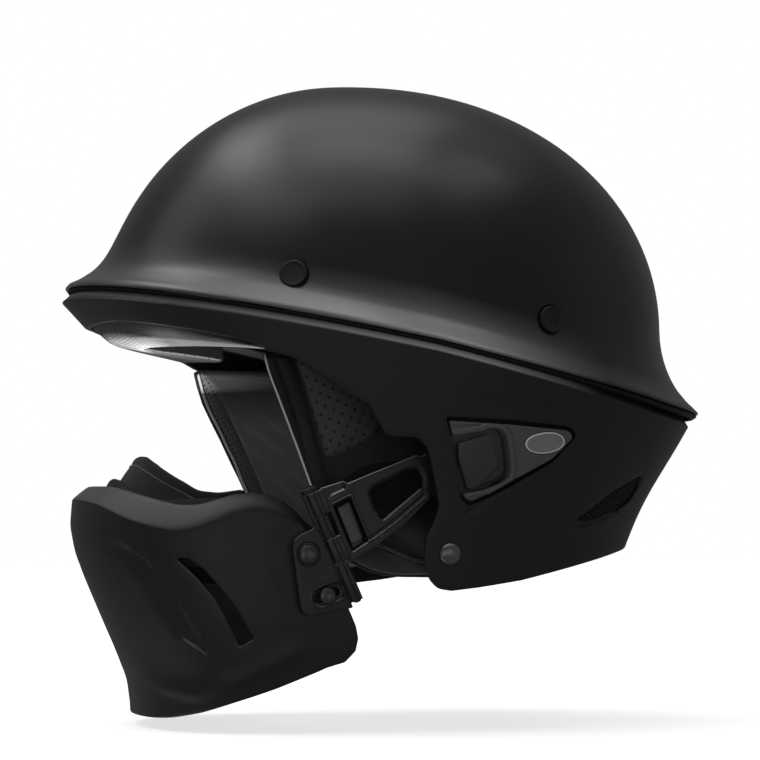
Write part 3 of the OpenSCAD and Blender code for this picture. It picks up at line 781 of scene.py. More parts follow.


# painted highlight on the muzzle's upward faces
painted_top_highlight(M_MUZZLE, 0.22, 0.42, (0.09, 0.09, 0.091), (-88, -55))
M_TRIM = moulded("rubber_trim", (0.006, 0.006, 0.0062), 0.7, 0.05, 700, 0.05, 0.2, 0.35)
M_PLUG = moulded("plug_plastic", (0.008, 0.008, 0.008), 0.6, 0.05, 900, 0.03, 0.15, 0.4)
M_BEZEL = moulded("bezel_grey", (0.11, 0.11, 0.111), 0.5, 0.05, 1200, 0.03, 0.12, 0.5, wear=((0.06, 0.06, 0.06), 0.5))
M_LATCH = moulded("release_grey", (0.048, 0.048, 0.0485), 0.3, 0.05, 1000, 0.015, 0.12, 0.5, wear=((0.08, 0.08, 0.08), 0.5))
M_BADGE = moulded("badge_plate", (0.30, 0.30, 0.303), 0.35, 0.05, 700, 0.02, 0.06, 0.5)
# the rim's near-white colour is a painted highlight along the badge's raised edge
M_BADGE_RIM = moulded("badge_rim", (0.95, 0.95, 0.955), 0.3, 0.05, 700, 0.01, 0.04, 0.5)
M_RECV = moulded("receiver_plastic", (0.005, 0.005, 0.005), 0.6, 0.05, 900, 0.03, 0.15, 0.4)
M_ARM = moulded("arm_grey", (0.017, 0.017, 0.0175), 0.42, 0.05, 1000, 0.025, 0.12, 0.5, wear=((0.07, 0.07, 0.072), 0.6))
M_BRACKET = moulded("bracket_grey", (0.012, 0.012, 0.0125), 0.42, 0.05, 1000, 0.025, 0.12, 0.5, wear=((0.06, 0.06, 0.062), 0.6))
# painted highlight along the upward edges of the arms and brackets
painted_top_highlight(M_ARM, 0.5, 0.85, (0.85, 0.85, 0.853))
painted_top_highlight(M_BRACKET, 0.5, 0.85, (0.25, 0.25, 0.252))
M_SCREW = metal("screw_steel", (0.10, 0.10, 0.105), 0.38)
M_RIVET = metal("rivet_steel", (0.20, 0.20, 0.205), 0.34)
M_RING = metal("ring_steel", (0.5, 0.5, 0.51), 0.25)
M_MAGNET = metal("magnet", (0.4, 0.4, 0.41), 0.25, brushed=False)
M_SEAL = moulded("seal_rubber", (0.016, 0.016, 0.0165), 0.7, 0.05, 500, 0.06, 0.15, 0.4)
M_FOAM = moulded("eps_foam", (0.012, 0.012, 0.0125), 0.85, 0.05, 260, 0.4, 0.25, 0.3)
M_KNIT = knit("comfort_fabric", (0.010, 0.010, 0.0104))
M_KNIT.node_tree.nodes["Principled BSDF"].inputs["Sheen Weight"].default_value = 0.25
M_FLAP = leather("flap_padding", (0.02, 0.02, 0.021))
M_PERF = leather("perforated_leather", (0.06, 0.06, 0.062), holes=3.1, hole_d=0.95)
M_WEB = knit("webbing", (0.006, 0.006, 0.0062), 1.4)
M_MESH = moulded("mesh_grey", (0.011, 0.011, 0.0113), 0.6, 0.05, 900, 0.03, 0.15, 0.4)

# ---------------------------------------------------------------------------
# camera, light and floor
# ---------------------------------------------------------------------------
AZ, EL, DIST, FPX = math.radians(77.5), math.radians(-2.6), 1500.0, 3150.0
TGT = Vector((0, 0, -23.8))
back = Vector((math.sin(AZ) * math.cos(EL), -math.cos(AZ) * math.cos(EL), math.sin(EL)))
cam_data = bpy.data.cameras.new("photo_camera")
cam_data.sensor_width = 36.0
cam_data.lens = FPX / 760 * 36.0
cam_data.clip_start, cam_data.clip_end = 0.05, 50
cam = bpy.data.objects.new("photo_camera", cam_data)
scene.collection.objects.link(cam)
cam.location = (TGT + back * DIST) * MM
cam.rotation_euler = back.to_track_quat("Z", "Y").to_euler()
scene.camera = cam
scene.view_settings.view_transform = "Standard"
scene.view_settings.look = "None"

world = bpy.data.worlds.new("studio")
scene.world = world
world.use_nodes = True
wn = world.node_tree
bg = wn.nodes["Background"]
lp = node(wn, "ShaderNodeLightPath")
bg2 = node(wn, "ShaderNodeBackground")
bg.inputs["Color"].default_value = (1, 1, 1, 1)
bg.inputs["Strength"].default_value = 0.166
bg2.inputs["Color"].default_value = (1, 1, 1, 1)
bg2.inputs["Strength"].default_value = 1.0
ms = node(wn, "ShaderNodeMixShader")
wn.links.new(lp.outputs["Is Camera Ray"], ms.inputs["Fac"])
wn.links.new(bg.outputs[0], ms.inputs[1])
wn.links.new(bg2.outputs[0], ms.inputs[2])
wn.links.new(ms.outputs[0], wn.nodes["World Output"].inputs["Surface"])

right = Vector((math.cos(AZ), math.sin(AZ), 0))
view_up = back.cross(right)


def softbox(name, place, aim, size, power, spread=180):
    """An area light at a place given in mm along the view's right, up and toward the camera."""
    d = bpy.data.lights.new(name, "AREA")
    d.shape = "RECTANGLE"
    d.size, d.size_y = size
    d.energy = power
    d.spread = math.radians(spread)
    o = bpy.data.objects.new(name, d)
    scene.collection.objects.link(o)
    p = (right * place[0] + Vector((0, 0, 1)) * place[1] + Vector((back.x, back.y, 0)).normalized() * place[2]) * MM
    q = (right * aim[0] + Vector((0, 0, 1)) * aim[1] + Vector((back.x, back.y, 0)).normalized() * aim[2]) * MM
    o.location = p
    o.rotation_euler = (p - q).to_track_quat("Z", "Y").to_euler()
    o.visible_camera = False
    return o


# an overhead run of soft boxes at 1300 mm, one row for each height over the horizon as seen from the camera
def overhead(deg, x, power):
    w = math.radians(deg)
    softbox(f"overhead_{deg}_{x}", (x, 1300 * math.sin(w), 1300 * math.cos(w)), (0, 0, 0), (0.7, 0.42), power)


for deg, row in ((60, (1.1, 0.72, 0.05)), (80, (1.06, 1.8, 0.92)), (95, (2.0, 1.12, 0.07)), (110, (1.2, 0.92, 0.19))):
    for x, power in zip((-650, 0, 650), row):
        overhead(deg, x, power)
overhead(125, 0, 0.13)
softbox("front_fill", (300, 300, 1450), (0, 0, 0), (1.2, 1.0), 0.16)
softbox("side_fill", (1350, 350, 0), (0, 0, 0), (0.8, 0.8), 0.09)
softbox("high_left", (-1050, 900, 0), (0, 0, 0), (0.7, 0.7), 1.22)
softbox("low_front", (0, -120, 1400), (0, -40, 0), (1.6, 0.3), 1.05)
softbox("low_left", (-700, -350, 1150), (-60, -40, 0), (0.7, 0.4), 0.6)
softbox("floor_bounce", (-700, -900, -60), (-60, 0, 0), (1.0, 0.8), 1.2)
softbox("under_brow", (-86, -28, 0), (-90, 60, 0), (0.11, 0.07), 0.055)

floor_me = bpy.data.meshes.new("floor")
FZ = -0.186
floor_me.from_pydata([(-6, -6, FZ), (6, -6, FZ), (6, 6, FZ), (-6, 6, FZ)], [], [(0, 1, 2, 3)])
floor = bpy.data.objects.new("floor", floor_me)
scene.collection.objects.link(floor)
fm, fnt, fbs = material("pale_floor", (0.9, 0.9, 0.9), 0.7)
fbs.inputs["Emission Color"].default_value = (1, 1, 1, 1)
femit = node(fnt, "ShaderNodeVectorMath", operation="LENGTH")
fnt.links.new(coords(fnt), femit.inputs[0])
fnt.links.new(remap(fnt, femit.outputs["Value"], 0.70, 1.0, 0.5, 1.1), fbs.inputs["Emission Strength"])
fnoise = noise(fnt, coords(fnt), 3.0, 3)
fnt.links.new(ramp(fnt, fnoise, [(0.3, (0.89, 0.89, 0.89)), (0.7, (0.91, 0.91, 0.91))]), fbs.inputs["Base Color"])
floor_me.materials.append(fm)
floor.visible_glossy = False
floor.visible_diffuse = False

RIDES = []


def piece(ob, body, nodes=()):
    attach(ob, body)
    if nodes:
        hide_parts(*nodes)
    RIDES.append(ob)
    return ob


# ---------------------------------------------------------------------------
# dome
# ---------------------------------------------------------------------------
DOME_R = 180.0


def dome_zs(a, s):
    """Height on the dome at share s of the way from the crown (0) to the rim (1)."""
    rz = rim_z(a)
    end = np.where(rz >= 0, np.degrees(np.arccos(np.clip(rz / CROWN_H, -1, 1))), 90 + np.degrees(-rz / CROWN_H))
    w = s * end
    return np.where(w <= 90, CROWN_H * np.cos(np.radians(w)), -CROWN_H * np.radians(w - 90))


def dome_uv(u, v, o):
    a = np.degrees(np.arctan2(v, u))
    s = np.hypot(u, v) / DOME_R
    z = dome_zs(a, s)
    # rows of the inner layers run to their own lower crown
    z2 = np.where(z > 0, z * (CROWN_H - o) / CROWN_H, z)
    return dome_pt(a, z2, o)


def newton(fn, target, q0, steps=25):
    """The (u, v) whose fn(u, v, 0) lies nearest the target point."""
    q = arr(q0)
    t = arr(target)
    for _ in range(steps):
        p = fn(q[:1], q[1:], np.zeros(1))[0]
        du = (fn(q[:1] + 0.01, q[1:], np.zeros(1))[0] - p) / 0.01
        dv = (fn(q[:1], q[1:] + 0.01, np.zeros(1))[0] - p) / 0.01
        J = np.stack([du, dv], 1)
        q = q + np.linalg.lstsq(J, t - p, rcond=None)[0]
    return q


PLUGS = [(-27.0, 18.6, 78.0), (25.0, -0.4, 84.0)]
dome_holes, plug_frames = [], []
for a0, z0, tip in PLUGS:
    P0 = dome_pt([a0], [z0])[0]
    rz, ry = math.radians(a0), math.radians(tip)
    ax = Vector((math.sin(ry) * math.cos(rz), math.sin(ry) * math.sin(rz), math.cos(ry)))
    for side in (1, -1):
        pc = P0 * [side, 1, 1]
        axis = Vector((side * ax.x, ax.y, ax.z))
        plug_frames.append((pc, axis))
        q0 = newton(dome_uv, pc, [math.cos(math.radians(a0)) * 150 * side, math.sin(math.radians(a0)) * 150])
        e1 = axis.cross(Vector((0, 0, 1))).normalized()
        e2 = axis.cross(e1)
        ring = []
        for i in range(56):
            w = 2 * math.pi * i / 56
            tgt = arr(Vector(pc) + (e1 * math.cos(w) + e2 * math.sin(w)) * 6.45)
            ring.append(tuple(newton(dome_uv, tgt, q0, 8)))
        dome_holes.append(ring)

g = [(0.0, 0.0)]
radii = list(np.arange(3.2, 150, 3.2)) + list(np.arange(151, 173, 2.0)) + [174.6, 176.0, 177.2, 178.2]
for k, r_ in enumerate(radii):
    n_ = max(8, int(2 * math.pi * r_ / (3.4 if r_ < 150 else 2.9)))
    ph = (k % 2) * math.pi / n_
    g += [(r_ * math.cos(2 * math.pi * i / n_ + ph), r_ * math.sin(2 * math.pi * i / n_ + ph)) for i in range(n_)]
rim_loop = circle(0, 0, DOME_R, 400)


def dome_top(u, v):
    """Draws the flare's flank in at the sides, so that it runs out as a flat cone and ends in a thin lip."""
    a = np.degrees(np.arctan2(v, u))
    h = dome_zs(a, np.hypot(u, v) / DOME_R) - rim_z(a)
    was = np.exp(-np.maximum(0, h - 2) / reach(a))
    cone = np.where(h < 0.9, 1.0, np.where(h < 9, 1 - (h - 0.9) * 0.088, 0.287 * np.exp(-(h - 9) / 3.3)))
    side = np.cos(np.radians(a)) ** 2
    return np.clip(flare(a) * (was - cone), 0, 1.9) * side


fill = flat_fill(rim_loop, dome_holes, 3.0, rings_for(0.9), grid=g, edge_step=2.9)
V, F = shell_from(fill, dome_uv, dome_top, lambda u, v: DOME_WALL + 0.6 * dome_top(u, v), 0.7, 0.6)
dome = new_object("dome", V, F, M_DOME, sharp=50)
piece(dome, "helmet", ["outer_shell"])

plug_parts = []
for pc, axis in plug_frames:
    prof = [(0, -2.6), (6.2, -2.6), (6.2, 0.15), (6.1, 0.42), (5.85, 0.62), (5.4, 0.70), (5.1, 0.68), (4.95, 0.5), (4.7, 0.42), (2.0, 0.40), (0, 0.4)]
    v_, f_ = lathe(prof, 56)
    plug_parts.append((placed(v_, pc, axis), f_))
V, F = join_parts(plug_parts)
plugs = new_object("snap_plug_set", V, F, M_PLUG, sharp=40)
piece(plugs, "helmet", ["snap_plugs"])

# trim strip under the rim
V, F = [], []
nt_ = 300
prof = [(1.9, -1.5), (1.35, -1.35), (1.2, -1.0), (1.35, -0.5), (1.7, -0.32), (4.4, -0.3), (4.6, -0.6), (4.6, -2.0), (4.3, -2.2), (2.6, -2.2)]
for i in range(nt_):
    a = -180 + 360 * i / nt_
    z = rim_z(a)
    p = dome_pt(a, z)
    w = outward(a)
    for q in prof:
        V.append(p - w * q[0] + arr([0, 0, q[1]]))
m_ = len(prof)
for i in range(nt_):
    for j in range(m_):
        F.append((i * m_ + j, i * m_ + (j + 1) % m_, ((i + 1) % nt_) * m_ + (j + 1) % m_, ((i + 1) % nt_) * m_ + j))
trim = new_object("rim_trim_strip", V, F, M_TRIM, sharp=50)
piece(trim, "helmet", ["rim_trim"])

# ---------------------------------------------------------------------------
# lower shell: the left half as one flat chart (u = angle, v = depth below the rim)
# ---------------------------------------------------------------------------
KA = 2.1


def skirt_uv(u, v, o):
    return skirt_pt(np.asarray(u) / KA, -np.asarray(v), o)


def skirt_chart(pts, step=1.0):
    """Side-view points (Y, Z) of the left half as chart points."""
    P = arr(cut_long(list(pts), step))
    a = skirt_find(P[:, 0], P[:, 1])
    return a * KA, P[:, 1] - rim_z(a)


EDGE = [(97, -105.5), (70, -111.5), (43, -117.5), (23, -120.5), (10, -122), (4, -121), (0, -117), (-3, -108), (-2.5, -98), (1, -91), (3, -84), (1, -75), (-3, -59), (-8, -54), (-21, -54),
        (-26, -46), (-29, -40), (-33, -38), (-47, -28.5), (-60, -20), (-74, -15), (-80, -12), (-89, -9.5), (-97, -7.5), (-120, -2.5), (-133, 0)]
edge_loop = [(190, -88)] + EDGE + [(-175, 0)]
edge_r = round_corners([(200, -40)] + edge_loop + [(-200, 40)], [0, 0, 9] + [6] * (len(EDGE) - 1) + [4, 0])
u_, v_ = skirt_chart(edge_r, 1.2)
chart = [(x, y) for x, y in zip(u_, v_) if -90 * KA + 0.4 < x < 90 * KA - 0.4 and y < -3]
zr, zf = -96.2, 0.0
chart = [(90 * KA, zr - rim_z(arr([90.0]))[0])] + chart + [(-90 * KA, zf - rim_z(arr([-90.0]))[0]), (-90 * KA, -1.8), (90 * KA, -1.8)]
BEZEL = [(5, -45), (8, -44), (59, -47), (64, -49), (63, -53), (20, -82), (16, -83), (13, -80)]
VENT = [(68, -91), (75, -87.4), (90, -77.6), (101, -72.6), (109, -69.6), (107.5, -75), (102, -81.6), (94.6, -86), (86, -88.6), (77.6, -91)]


def hole_chart(poly, r=1.5, step=1.2):
    u, v = skirt_chart(round_corners(poly, r), step)
    return list(zip(u, v))


rivet_c = newton(skirt_uv, [103.6, 8.6, -105.4], [3.6 * KA, -90.0])
rivet_hole = circle(rivet_c[0], rivet_c[1], 2.3, 24)


def seam_skirt(p):
    return abs(abs(p[0]) - 90 * KA) < 1e-4


def open_segs(pts):
    return arr([(*p, *q) for p, q in zip(pts[:-1], pts[1:])])


SCOOP = [(56.5, -69.8), (68.9, -64.9), (78.0, -60.2), (88.3, -54.4), (97.8, -47.4), (105.0, -39.5), (108.6, -33.0)]
UNDER = [(13.2, -73.0), (25.4, -61.4), (36.7, -50.2), (48.4, -38.6), (60.5, -26.6), (61.5, -23.2), (58.0, -21.6)]
POCKET = [(3.8, -33.3), (26.7, -27.8), (53.4, -23.2), (56.9, -24.1), (58.7, -26.5), (48.6, -40.1), (31.5, -55.4), (22.6, -63.0), (14.1, -69.1), (11.3, -67.1), (6.6, -42.4)]


def skirt_top(u, v):
    """Small forms moulded into the face: a scoop below the rear slot and the soft margin round the insert."""
    P = np.stack([u, v], 1)
    near = (u > 0) & (u < 125) & (v < -12) & (v > -85)
    o = np.zeros(len(u))
    if near.any():
        q = P[near]
        below = inside(q, [SCOOP + [(116, -50), (104, -68), (70, -82), (52, -80)]])
        d = seg_dist(q, open_segs(SCOOP))
        along_ = ease((q[:, 0] - 56) / 14) * (1 - ease((q[:, 0] - 98) / 12))
        sd = np.where(below, d, -d)
        mix = ease((sd + 0.7) / 1.4)
        s = (1.5 * (1 - ease(np.maximum(-sd, 0) / 5.5)) * (1 - mix) - 0.35 * (1 - ease(np.maximum(sd, 0) / 3.5)) * mix) * along_
        d2 = seg_dist(q, open_segs(UNDER))
        s += 0.32 * (1 - ease(d2 / 1.5))
        s += 0.5 * (1 - ease((seg_dist(q, open_segs([(14, -24.5), (30, -21), (50, -18.6), (62, -19.6)])) - 0.5) / 4.5))
        o[near] = s
    return o


bezel_hole = round_corners(POCKET, [1.2, 0, 2, 1.5, 2, 0, 0, 0, 2, 2, 0], 6)
vent_hole = hole_chart(VENT, 1.2)
extra = []
for d in (2.6, 3.4, 4.6, 5.4, 5.8, 6.2, 6.8, 8.0):
    extra += [(x, -d) for x in np.arange(-186, 187, 2.4)]
for off in (-1.4, -0.7, 0.0, 0.7, 1.4):
    extra += [(p[0] + off * 0.7, p[1] - off * 0.7) for p in cut_long(UNDER, 1.3)[:-8]]
for off in (-2.4, -1.4, -0.7, -0.35, 0.0, 0.35, 0.7, 1.6, 2.6, 3.8):
    extra += [q for q in ((p[0] + off * 0.5, p[1] - off * 0.86) for p in cut_long(SCOOP, 1.2)[:-8]) if not inside(arr([q]), [vent_hole])[0] and seg_dist(arr([q]), open_segs(list(vent_hole) + [vent_hole[0]]))[0] > 0.5]
V, F = plate(chart, [bezel_hole, vent_hole, rivet_hole], skirt_uv, skirt_top, SKIRT_WALL, step=2.8, r=0.8, rb=0.6, seam=seam_skirt, extra=extra, edge_step=1.8)
V, F = both_sides(V, F)
skirt = new_object("lower_shell_moulding", V, F, M_SKIRT, sharp=32)
piece(skirt, "helmet", ["lower_shell"])

# ---------------------------------------------------------------------------
# muzzle: one flat chart (u = plan position, v = height)
# ---------------------------------------------------------------------------
KT = 150.0


def mz_edge(table, z0):
    out = []
    for t in np.linspace(0, 1, 81):
        z = z0
        for _ in range(12):
            z = float(soft_lut(table, mz_xy(t, z, 0)[1], 2.0))
        out.append((t * KT, z))
    return out


MZ_TOP = mz_edge(TOP_Z, -84)
MZ_BOT = mz_edge(BOT_Z, -165)


def top_z(t):
    return lut(MZ_TOP, np.abs(t) * KT)


def bot_z(t):
    return lut(MZ_BOT, np.abs(t) * KT)


# how far the top band reaches down, by plan position
BAND = [(0, 5.8), (0.1, 6.4), (0.215, 8), (0.346, 11.3), (0.46, 12), (0.56, 11.6), (0.63, 10.8), (0.69, 9), (0.78, 8), (1.0, 8)]


def roll_in(t, z):
    u = np.abs(t)
    zt = top_z(t)
    b = soft_lut(BAND, u, 0.03)
    k = np.clip((z - (zt - b)) / b, -0.3, 1)
    amount = 6.5 * (1 - 0.7 * u**2)
    sharpness = 1.15 + 0.85 * ease((u - 0.45) / 0.25)
    return amount * np.clip(k, 0, 1) ** sharpness


RELIEF = [(-134.3, -98.1), (-123.8, -106.2), (-115.6, -115), (-104.6, -132.8), (-98.1, -143.9), (-94.6, -151.2)]
LEDGE = [(-94.6, -151.2), (-104.2, -157.8)]
CREASE = [(0.0, -165.3), (0.182, -164.8), (0.32, -167.5), (0.451, -169.6), (0.592, -164.7), (0.759, -154.9), (0.832, -148.9), (0.9, -144)]


def mz_form(u, v):
    """Inward offset of the muzzle's face: the top band, the false vent and the chin crease."""
    t = u / KT
    ta = np.abs(t)
    o = roll_in(t, v)
    # false vent: sunk along a curve, easing out towards the front
    y = mz_xy(ta, v, 0)[1]
    yc = soft_lut([(z, q) for q, z in RELIEF[::-1]], v, 2.0)
    gap = yc - y
    fade = ease((v + 158.5) / 2.2) * ease((-98.5 - v) / 8.0)
    led = -151.2 - (y + 94.6) * (-6.6) / (-9.6)
    below = ease((v - led) / 1.2)
    sink = 1.5 * fade * below * ease((gap + 0.5) / 1.0) * (1 - ease((gap - 1.0) / 11.0))
    o = o + sink
    # chin crease: a low ridge with the band under it tucked in
    zc = soft_lut(CREASE, ta, 0.04)
    dz = v - zc
    side = ease((ta - 0.1) / 0.2) * (1 - ease((ta - 0.78) / 0.1))
    o = o - side * 1.1 * np.where(dz > 0, np.exp(-((dz / 6.0) ** 2)), np.exp(-((dz / 1.8) ** 2)))
    return o


def mz_uv(u, v, o):
    t = np.asarray(u) / KT
    x, y = mz_xy(t, v, o)
    # the flats that the brackets lie on
    P = np.stack([x, y, arr(v)], -1)
    c, s = math.cos(TILT), math.sin(TILT)
    ly = (P[:, 1] - HY) * c + (P[:, 2] - HZ) * s
    lz = -(P[:, 1] - HY) * s + (P[:, 2] - HZ) * c
    lim = HX - 6.2
    w = ease((ly + 30.5) / 1.6) * ease((lz + 36) / 1.2) * ease((15.5 - lz) / 1.2)
    lim_o = lim - np.clip(np.where(o > 1.4, 2.6, 0), 0, 2.6)
    X = np.abs(P[:, 0])
    cut = np.minimum(X, lim_o)
    P[:, 0] = np.sign(P[:, 0]) * (X + (cut - X) * w)
    return P


SLOT = [(-110, -107), (-104, -107.5), (-98, -112), (-91, -120), (-84.5, -128), (-79.5, -136.5), (-75.5, -143), (-82, -147), (-84, -143.5), (-88.5, -134), (-93.5, -125), (-100.5, -116.5), (-106, -111)]
CORNER = [(-29.5, -120), (-29.5, -138), (-30.5, -146), (-34, -151), (-41, -156)]


def mz_chart(poly, r=1.2, step=1.2):
    P = arr(cut_long(round_corners(poly, r), step))
    t = mz_find(P[:, 0], P[:, 1])
    return [(a * KT, b) for a, b in zip(t, P[:, 1])]


# right-hand side of the outline, from the bottom's middle round the rear corner to the top's middle
rear = []
for z in np.arange(-150.0, -96.0, 1.5):
    rear.append((KT, z))
corner_t = mz_find([p[0] for p in CORNER], [p[1] for p in CORNER])
bot = [p for p in MZ_BOT if p[0] < 0.9 * KT]
half = bot + [(0.935 * KT, -154.0), (0.972 * KT, -149.0), (0.992 * KT, -143.5)] + [(KT, z) for z in np.arange(-138, float(top_z(arr(1.0))) - 1, 2.0)] + [(KT, float(top_z(arr(1.0))))] + [p for p in MZ_TOP[::-1] if p[0] < KT * 0.995]
outline = half + [(-x, y) for x, y in half[::-1] if x > 1e-6]
outline = [p for i, p in enumerate(outline) if math.dist(p, outline[i - 1]) > 0.05]
slot_l = mz_chart(SLOT, 1.6)
holes = [slot_l, [(-x, y) for x, y in slot_l][::-1]]
boss = []
for ly, lz in ((-12, 0.6), (-11.6, -19.6)):
    p = arm_pt(-6.2, ly, lz)
    tt = float(mz_find(p[1], p[2]))
    ring = []
    for i in range(24):
        w = 2 * math.pi * i / 24
        q = arm_pt(-6.2, ly + 2.05 * math.cos(w), lz + 2.05 * math.sin(w))
        ring.append((float(mz_find(q[1], q[2])) * KT, float(q[2])))
    holes += [ring, [(-x, y) for x, y in ring][::-1]]
rel = []
for q in np.linspace(0, 1, 60):
    P_ = catmull(RELIEF, 60)[int(q * 59)]
    for off in (-0.8, -0.25, 0.25, 0.8, 2.0, 3.5):
        tt = float(mz_find(P_[0] - off, P_[1]))
        rel += [(tt * KT, P_[1]), (-tt * KT, P_[1])]
for x in np.linspace(-92, -106, 24):
    for off in (-0.6, 0, 0.5, 1.0, 1.6):
        z = -151.2 - (x + 94.6) * (-6.6) / (-9.6) + off
        tt = float(mz_find(x, z))
        rel += [(tt * KT, z), (-tt * KT, z)]
for t_ in np.linspace(-0.9, 0.9, 190):
    zt_, b_ = float(top_z(arr(t_))), float(soft_lut(BAND, arr(abs(t_)), 0.03))
    for off in (-0.6, 0.0, 0.6, 1.6):
        rel.append((t_ * KT, zt_ - b_ + off))
V, F = plate(outline, holes, mz_uv, mz_form, lambda u, v: MUZZLE_WALL + roll_in(u / KT, v), step=2.3, r=0.8, rb=0.6, extra=rel, edge_step=1.6)
muzzle = new_object("muzzle_moulding", V, F, M_MUZZLE, sharp=32)
piece(muzzle, "muzzle", ["muzzle_shell"])
# ---------------------------------------------------------------------------
# small builders for hardware
# ---------------------------------------------------------------------------
def open_segs(pts):
    return arr([(*p, *q) for p, q in zip(pts[:-1], pts[1:])])


def ridge(u, v, pts, width, depth, soft=0.35):
    """A groove (depth > 0) or bead (depth < 0) along an open line of a chart."""
    d = seg_dist(np.stack([u, v], 1), open_segs(pts))
    return depth * (1 - ease((d - width * soft) / (width * (1 - soft))))


def along(pts, step, offs):
    """Extra chart points beside an open line, at the given side offsets."""
    out = []
    P = arr(pts)
    for p, q in zip(P[:-1], P[1:]):
        n = max(1, int(np.linalg.norm(q - p) / step))
        t = (q - p) / max(np.linalg.norm(q - p), 1e-9)
        w = arr([-t[1], t[0]])
        for k in range(n):
            c = p + (q - p) * (k + 0.5) / n
            out += [tuple(c + w * s) for s in offs]
    return out


def inset(loop, d):
    """The outline moved inwards by d (outwards if negative); the loop runs either way."""
    P = arr(loop)
    A = 0.5 * np.sum(P[:, 0] * np.roll(P[:, 1], -1) - np.roll(P[:, 0], -1) * P[:, 1])
    e0, e1 = P - np.roll(P, 1, 0), np.roll(P, -1, 0) - P
    e0 /= np.maximum(np.linalg.norm(e0, axis=1, keepdims=True), 1e-9)
    e1 /= np.maximum(np.linalg.norm(e1, axis=1, keepdims=True), 1e-9)
    sg = 1.0 if A > 0 else -1.0
    n0, n1 = np.stack([-e0[:, 1], e0[:, 0]], 1) * sg, np.stack([-e1[:, 1], e1[:, 0]], 1) * sg
    m = n0 + n1
    m /= np.maximum(np.linalg.norm(m, axis=1, keepdims=True), 1e-9)
    k = np.maximum((m * n0).sum(1), 0.45)
    return [tuple(p) for p in P + m * (d / k)[:, None]]


def loft(loops, caps=True, closed=False):
    """Closed surface through loops of equal point counts."""
    m = len(loops[0])
    V = np.concatenate([arr(l) for l in loops])
    F = []
    for k in range(len(loops) - (0 if closed else 1)):
        k2 = (k + 1) % len(loops)
        for i in range(m):
            j = (i + 1) % m
            F.append((k * m + i, k * m + j, k2 * m + j, k2 * m + i))
    if caps and not closed:
        F.append(tuple(range(m - 1, -1, -1)))
        F.append(tuple((len(loops) - 1) * m + i for i in range(m)))
    return V, F


def rect_ring(wx, wy, r, n=5):
    """A rounded rectangle about the origin."""
    out = []
    for cx, cy, a0 in ((wx / 2 - r, wy / 2 - r, 0), (-wx / 2 + r, wy / 2 - r, 90), (-wx / 2 + r, -wy / 2 + r, 180), (wx / 2 - r, -wy / 2 + r, 270)):
        for k in range(n + 1):
            a = math.radians(a0 + 90 * k / n)
            out.append((cx + r * math.cos(a), cy + r * math.sin(a)))
    return out


def block(x0, x1, y0, y1, z0, z1, r=0.5, corner=None, n=3):
    """A block with rounded corners and eased ends; the loops run along z."""
    corner = corner or r
    cx, cy = (x0 + x1) / 2, (y0 + y1) / 2
    loops = []
    steps = [(r * (1 - math.cos(math.radians(a))), r * (1 - math.sin(math.radians(a)))) for a in np.linspace(90, 0, n + 1)]
    for ins, dz in [(r * (1 - math.sin(math.radians(a))), r * (1 - math.cos(math.radians(a)))) for a in np.linspace(0, 90, n + 1)]:
        loops.append((ins, z0 + dz))
    for ins, dz in [(r * (1 - math.sin(math.radians(a))), r * (1 - math.cos(math.radians(a)))) for a in np.linspace(90, 0, n + 1)]:
        loops.append((ins, z1 - dz))
    out = []
    for ins, z in loops:
        ring = rect_ring(x1 - x0 - 2 * ins, y1 - y0 - 2 * ins, max(corner - ins * 0.6, 0.05))
        out.append([(cx + p[0], cy + p[1], z) for p in ring])
    return loft(out)


def in_arm(vf, side=1):
    v, f = vf
    v = arr(v)
    return arm_pt(v[:, 0], v[:, 1], v[:, 2], side), f


def hex_r(apothem, th):
    k = (th % (math.pi / 3)) - math.pi / 6
    return apothem / math.cos(k)


def button_head(R, h, apothem, depth, n=60, rim=0.35):
    """A low domed screw head with a hexagon socket, its underside at z 0."""
    prof = [(R - 0.35, 0), (R, 0.3), (R, h * 0.32), (R - 0.22, h * 0.52)]
    for a in np.linspace(20, 78, 7):
        w = math.radians(a)
        prof.append(((R - 0.2) * math.cos(w) ** 0.8, h * (0.52 + 0.48 * math.sin(w))))
    top = [p for p in prof if p[0] > apothem * 1.25]
    loops = []
    for r, z in top:
        loops.append([(r * math.cos(2 * math.pi * i / n), r * math.sin(2 * math.pi * i / n), z) for i in range(n)])
    for k, z in ((1.12, h * 0.985), (1.0, h * 0.93), (1.0, h - depth), (0.72, h - depth - 0.12)):
        loops.append([(hex_r(apothem * k, 2 * math.pi * i / n) * math.cos(2 * math.pi * i / n), hex_r(apothem * k, 2 * math.pi * i / n) * math.sin(2 * math.pi * i / n), z) for i in range(n)])
    return loft(loops)


def rod(r, z0, z1, n=32, ease_r=0.3):
    return lathe([(0, z0), (r - ease_r, z0), (r, z0 + ease_r), (r, z1 - ease_r), (r - ease_r, z1), (0, z1)], n)


def two(name, parts_fn, mat, bodies, nodes, sharp=35):
    """One object for each side from a function of the side, 1 left and -1 right."""
    out = []
    for side, tag, body, nd in ((1, "left", bodies[0], nodes[0]), (-1, "right", bodies[1], nodes[1])):
        v, f = join_parts(parts_fn(side))
        ob = new_object(f"{name}_{tag}", v, f, mat, sharp=sharp)
        piece(ob, body, [nd] if nd else [])
        out.append(ob)
    return out


def flip(vf, side):
    v, f = vf
    if side > 0:
        return v, f
    return mirrored(v), [tuple(reversed(g)) for g in f]


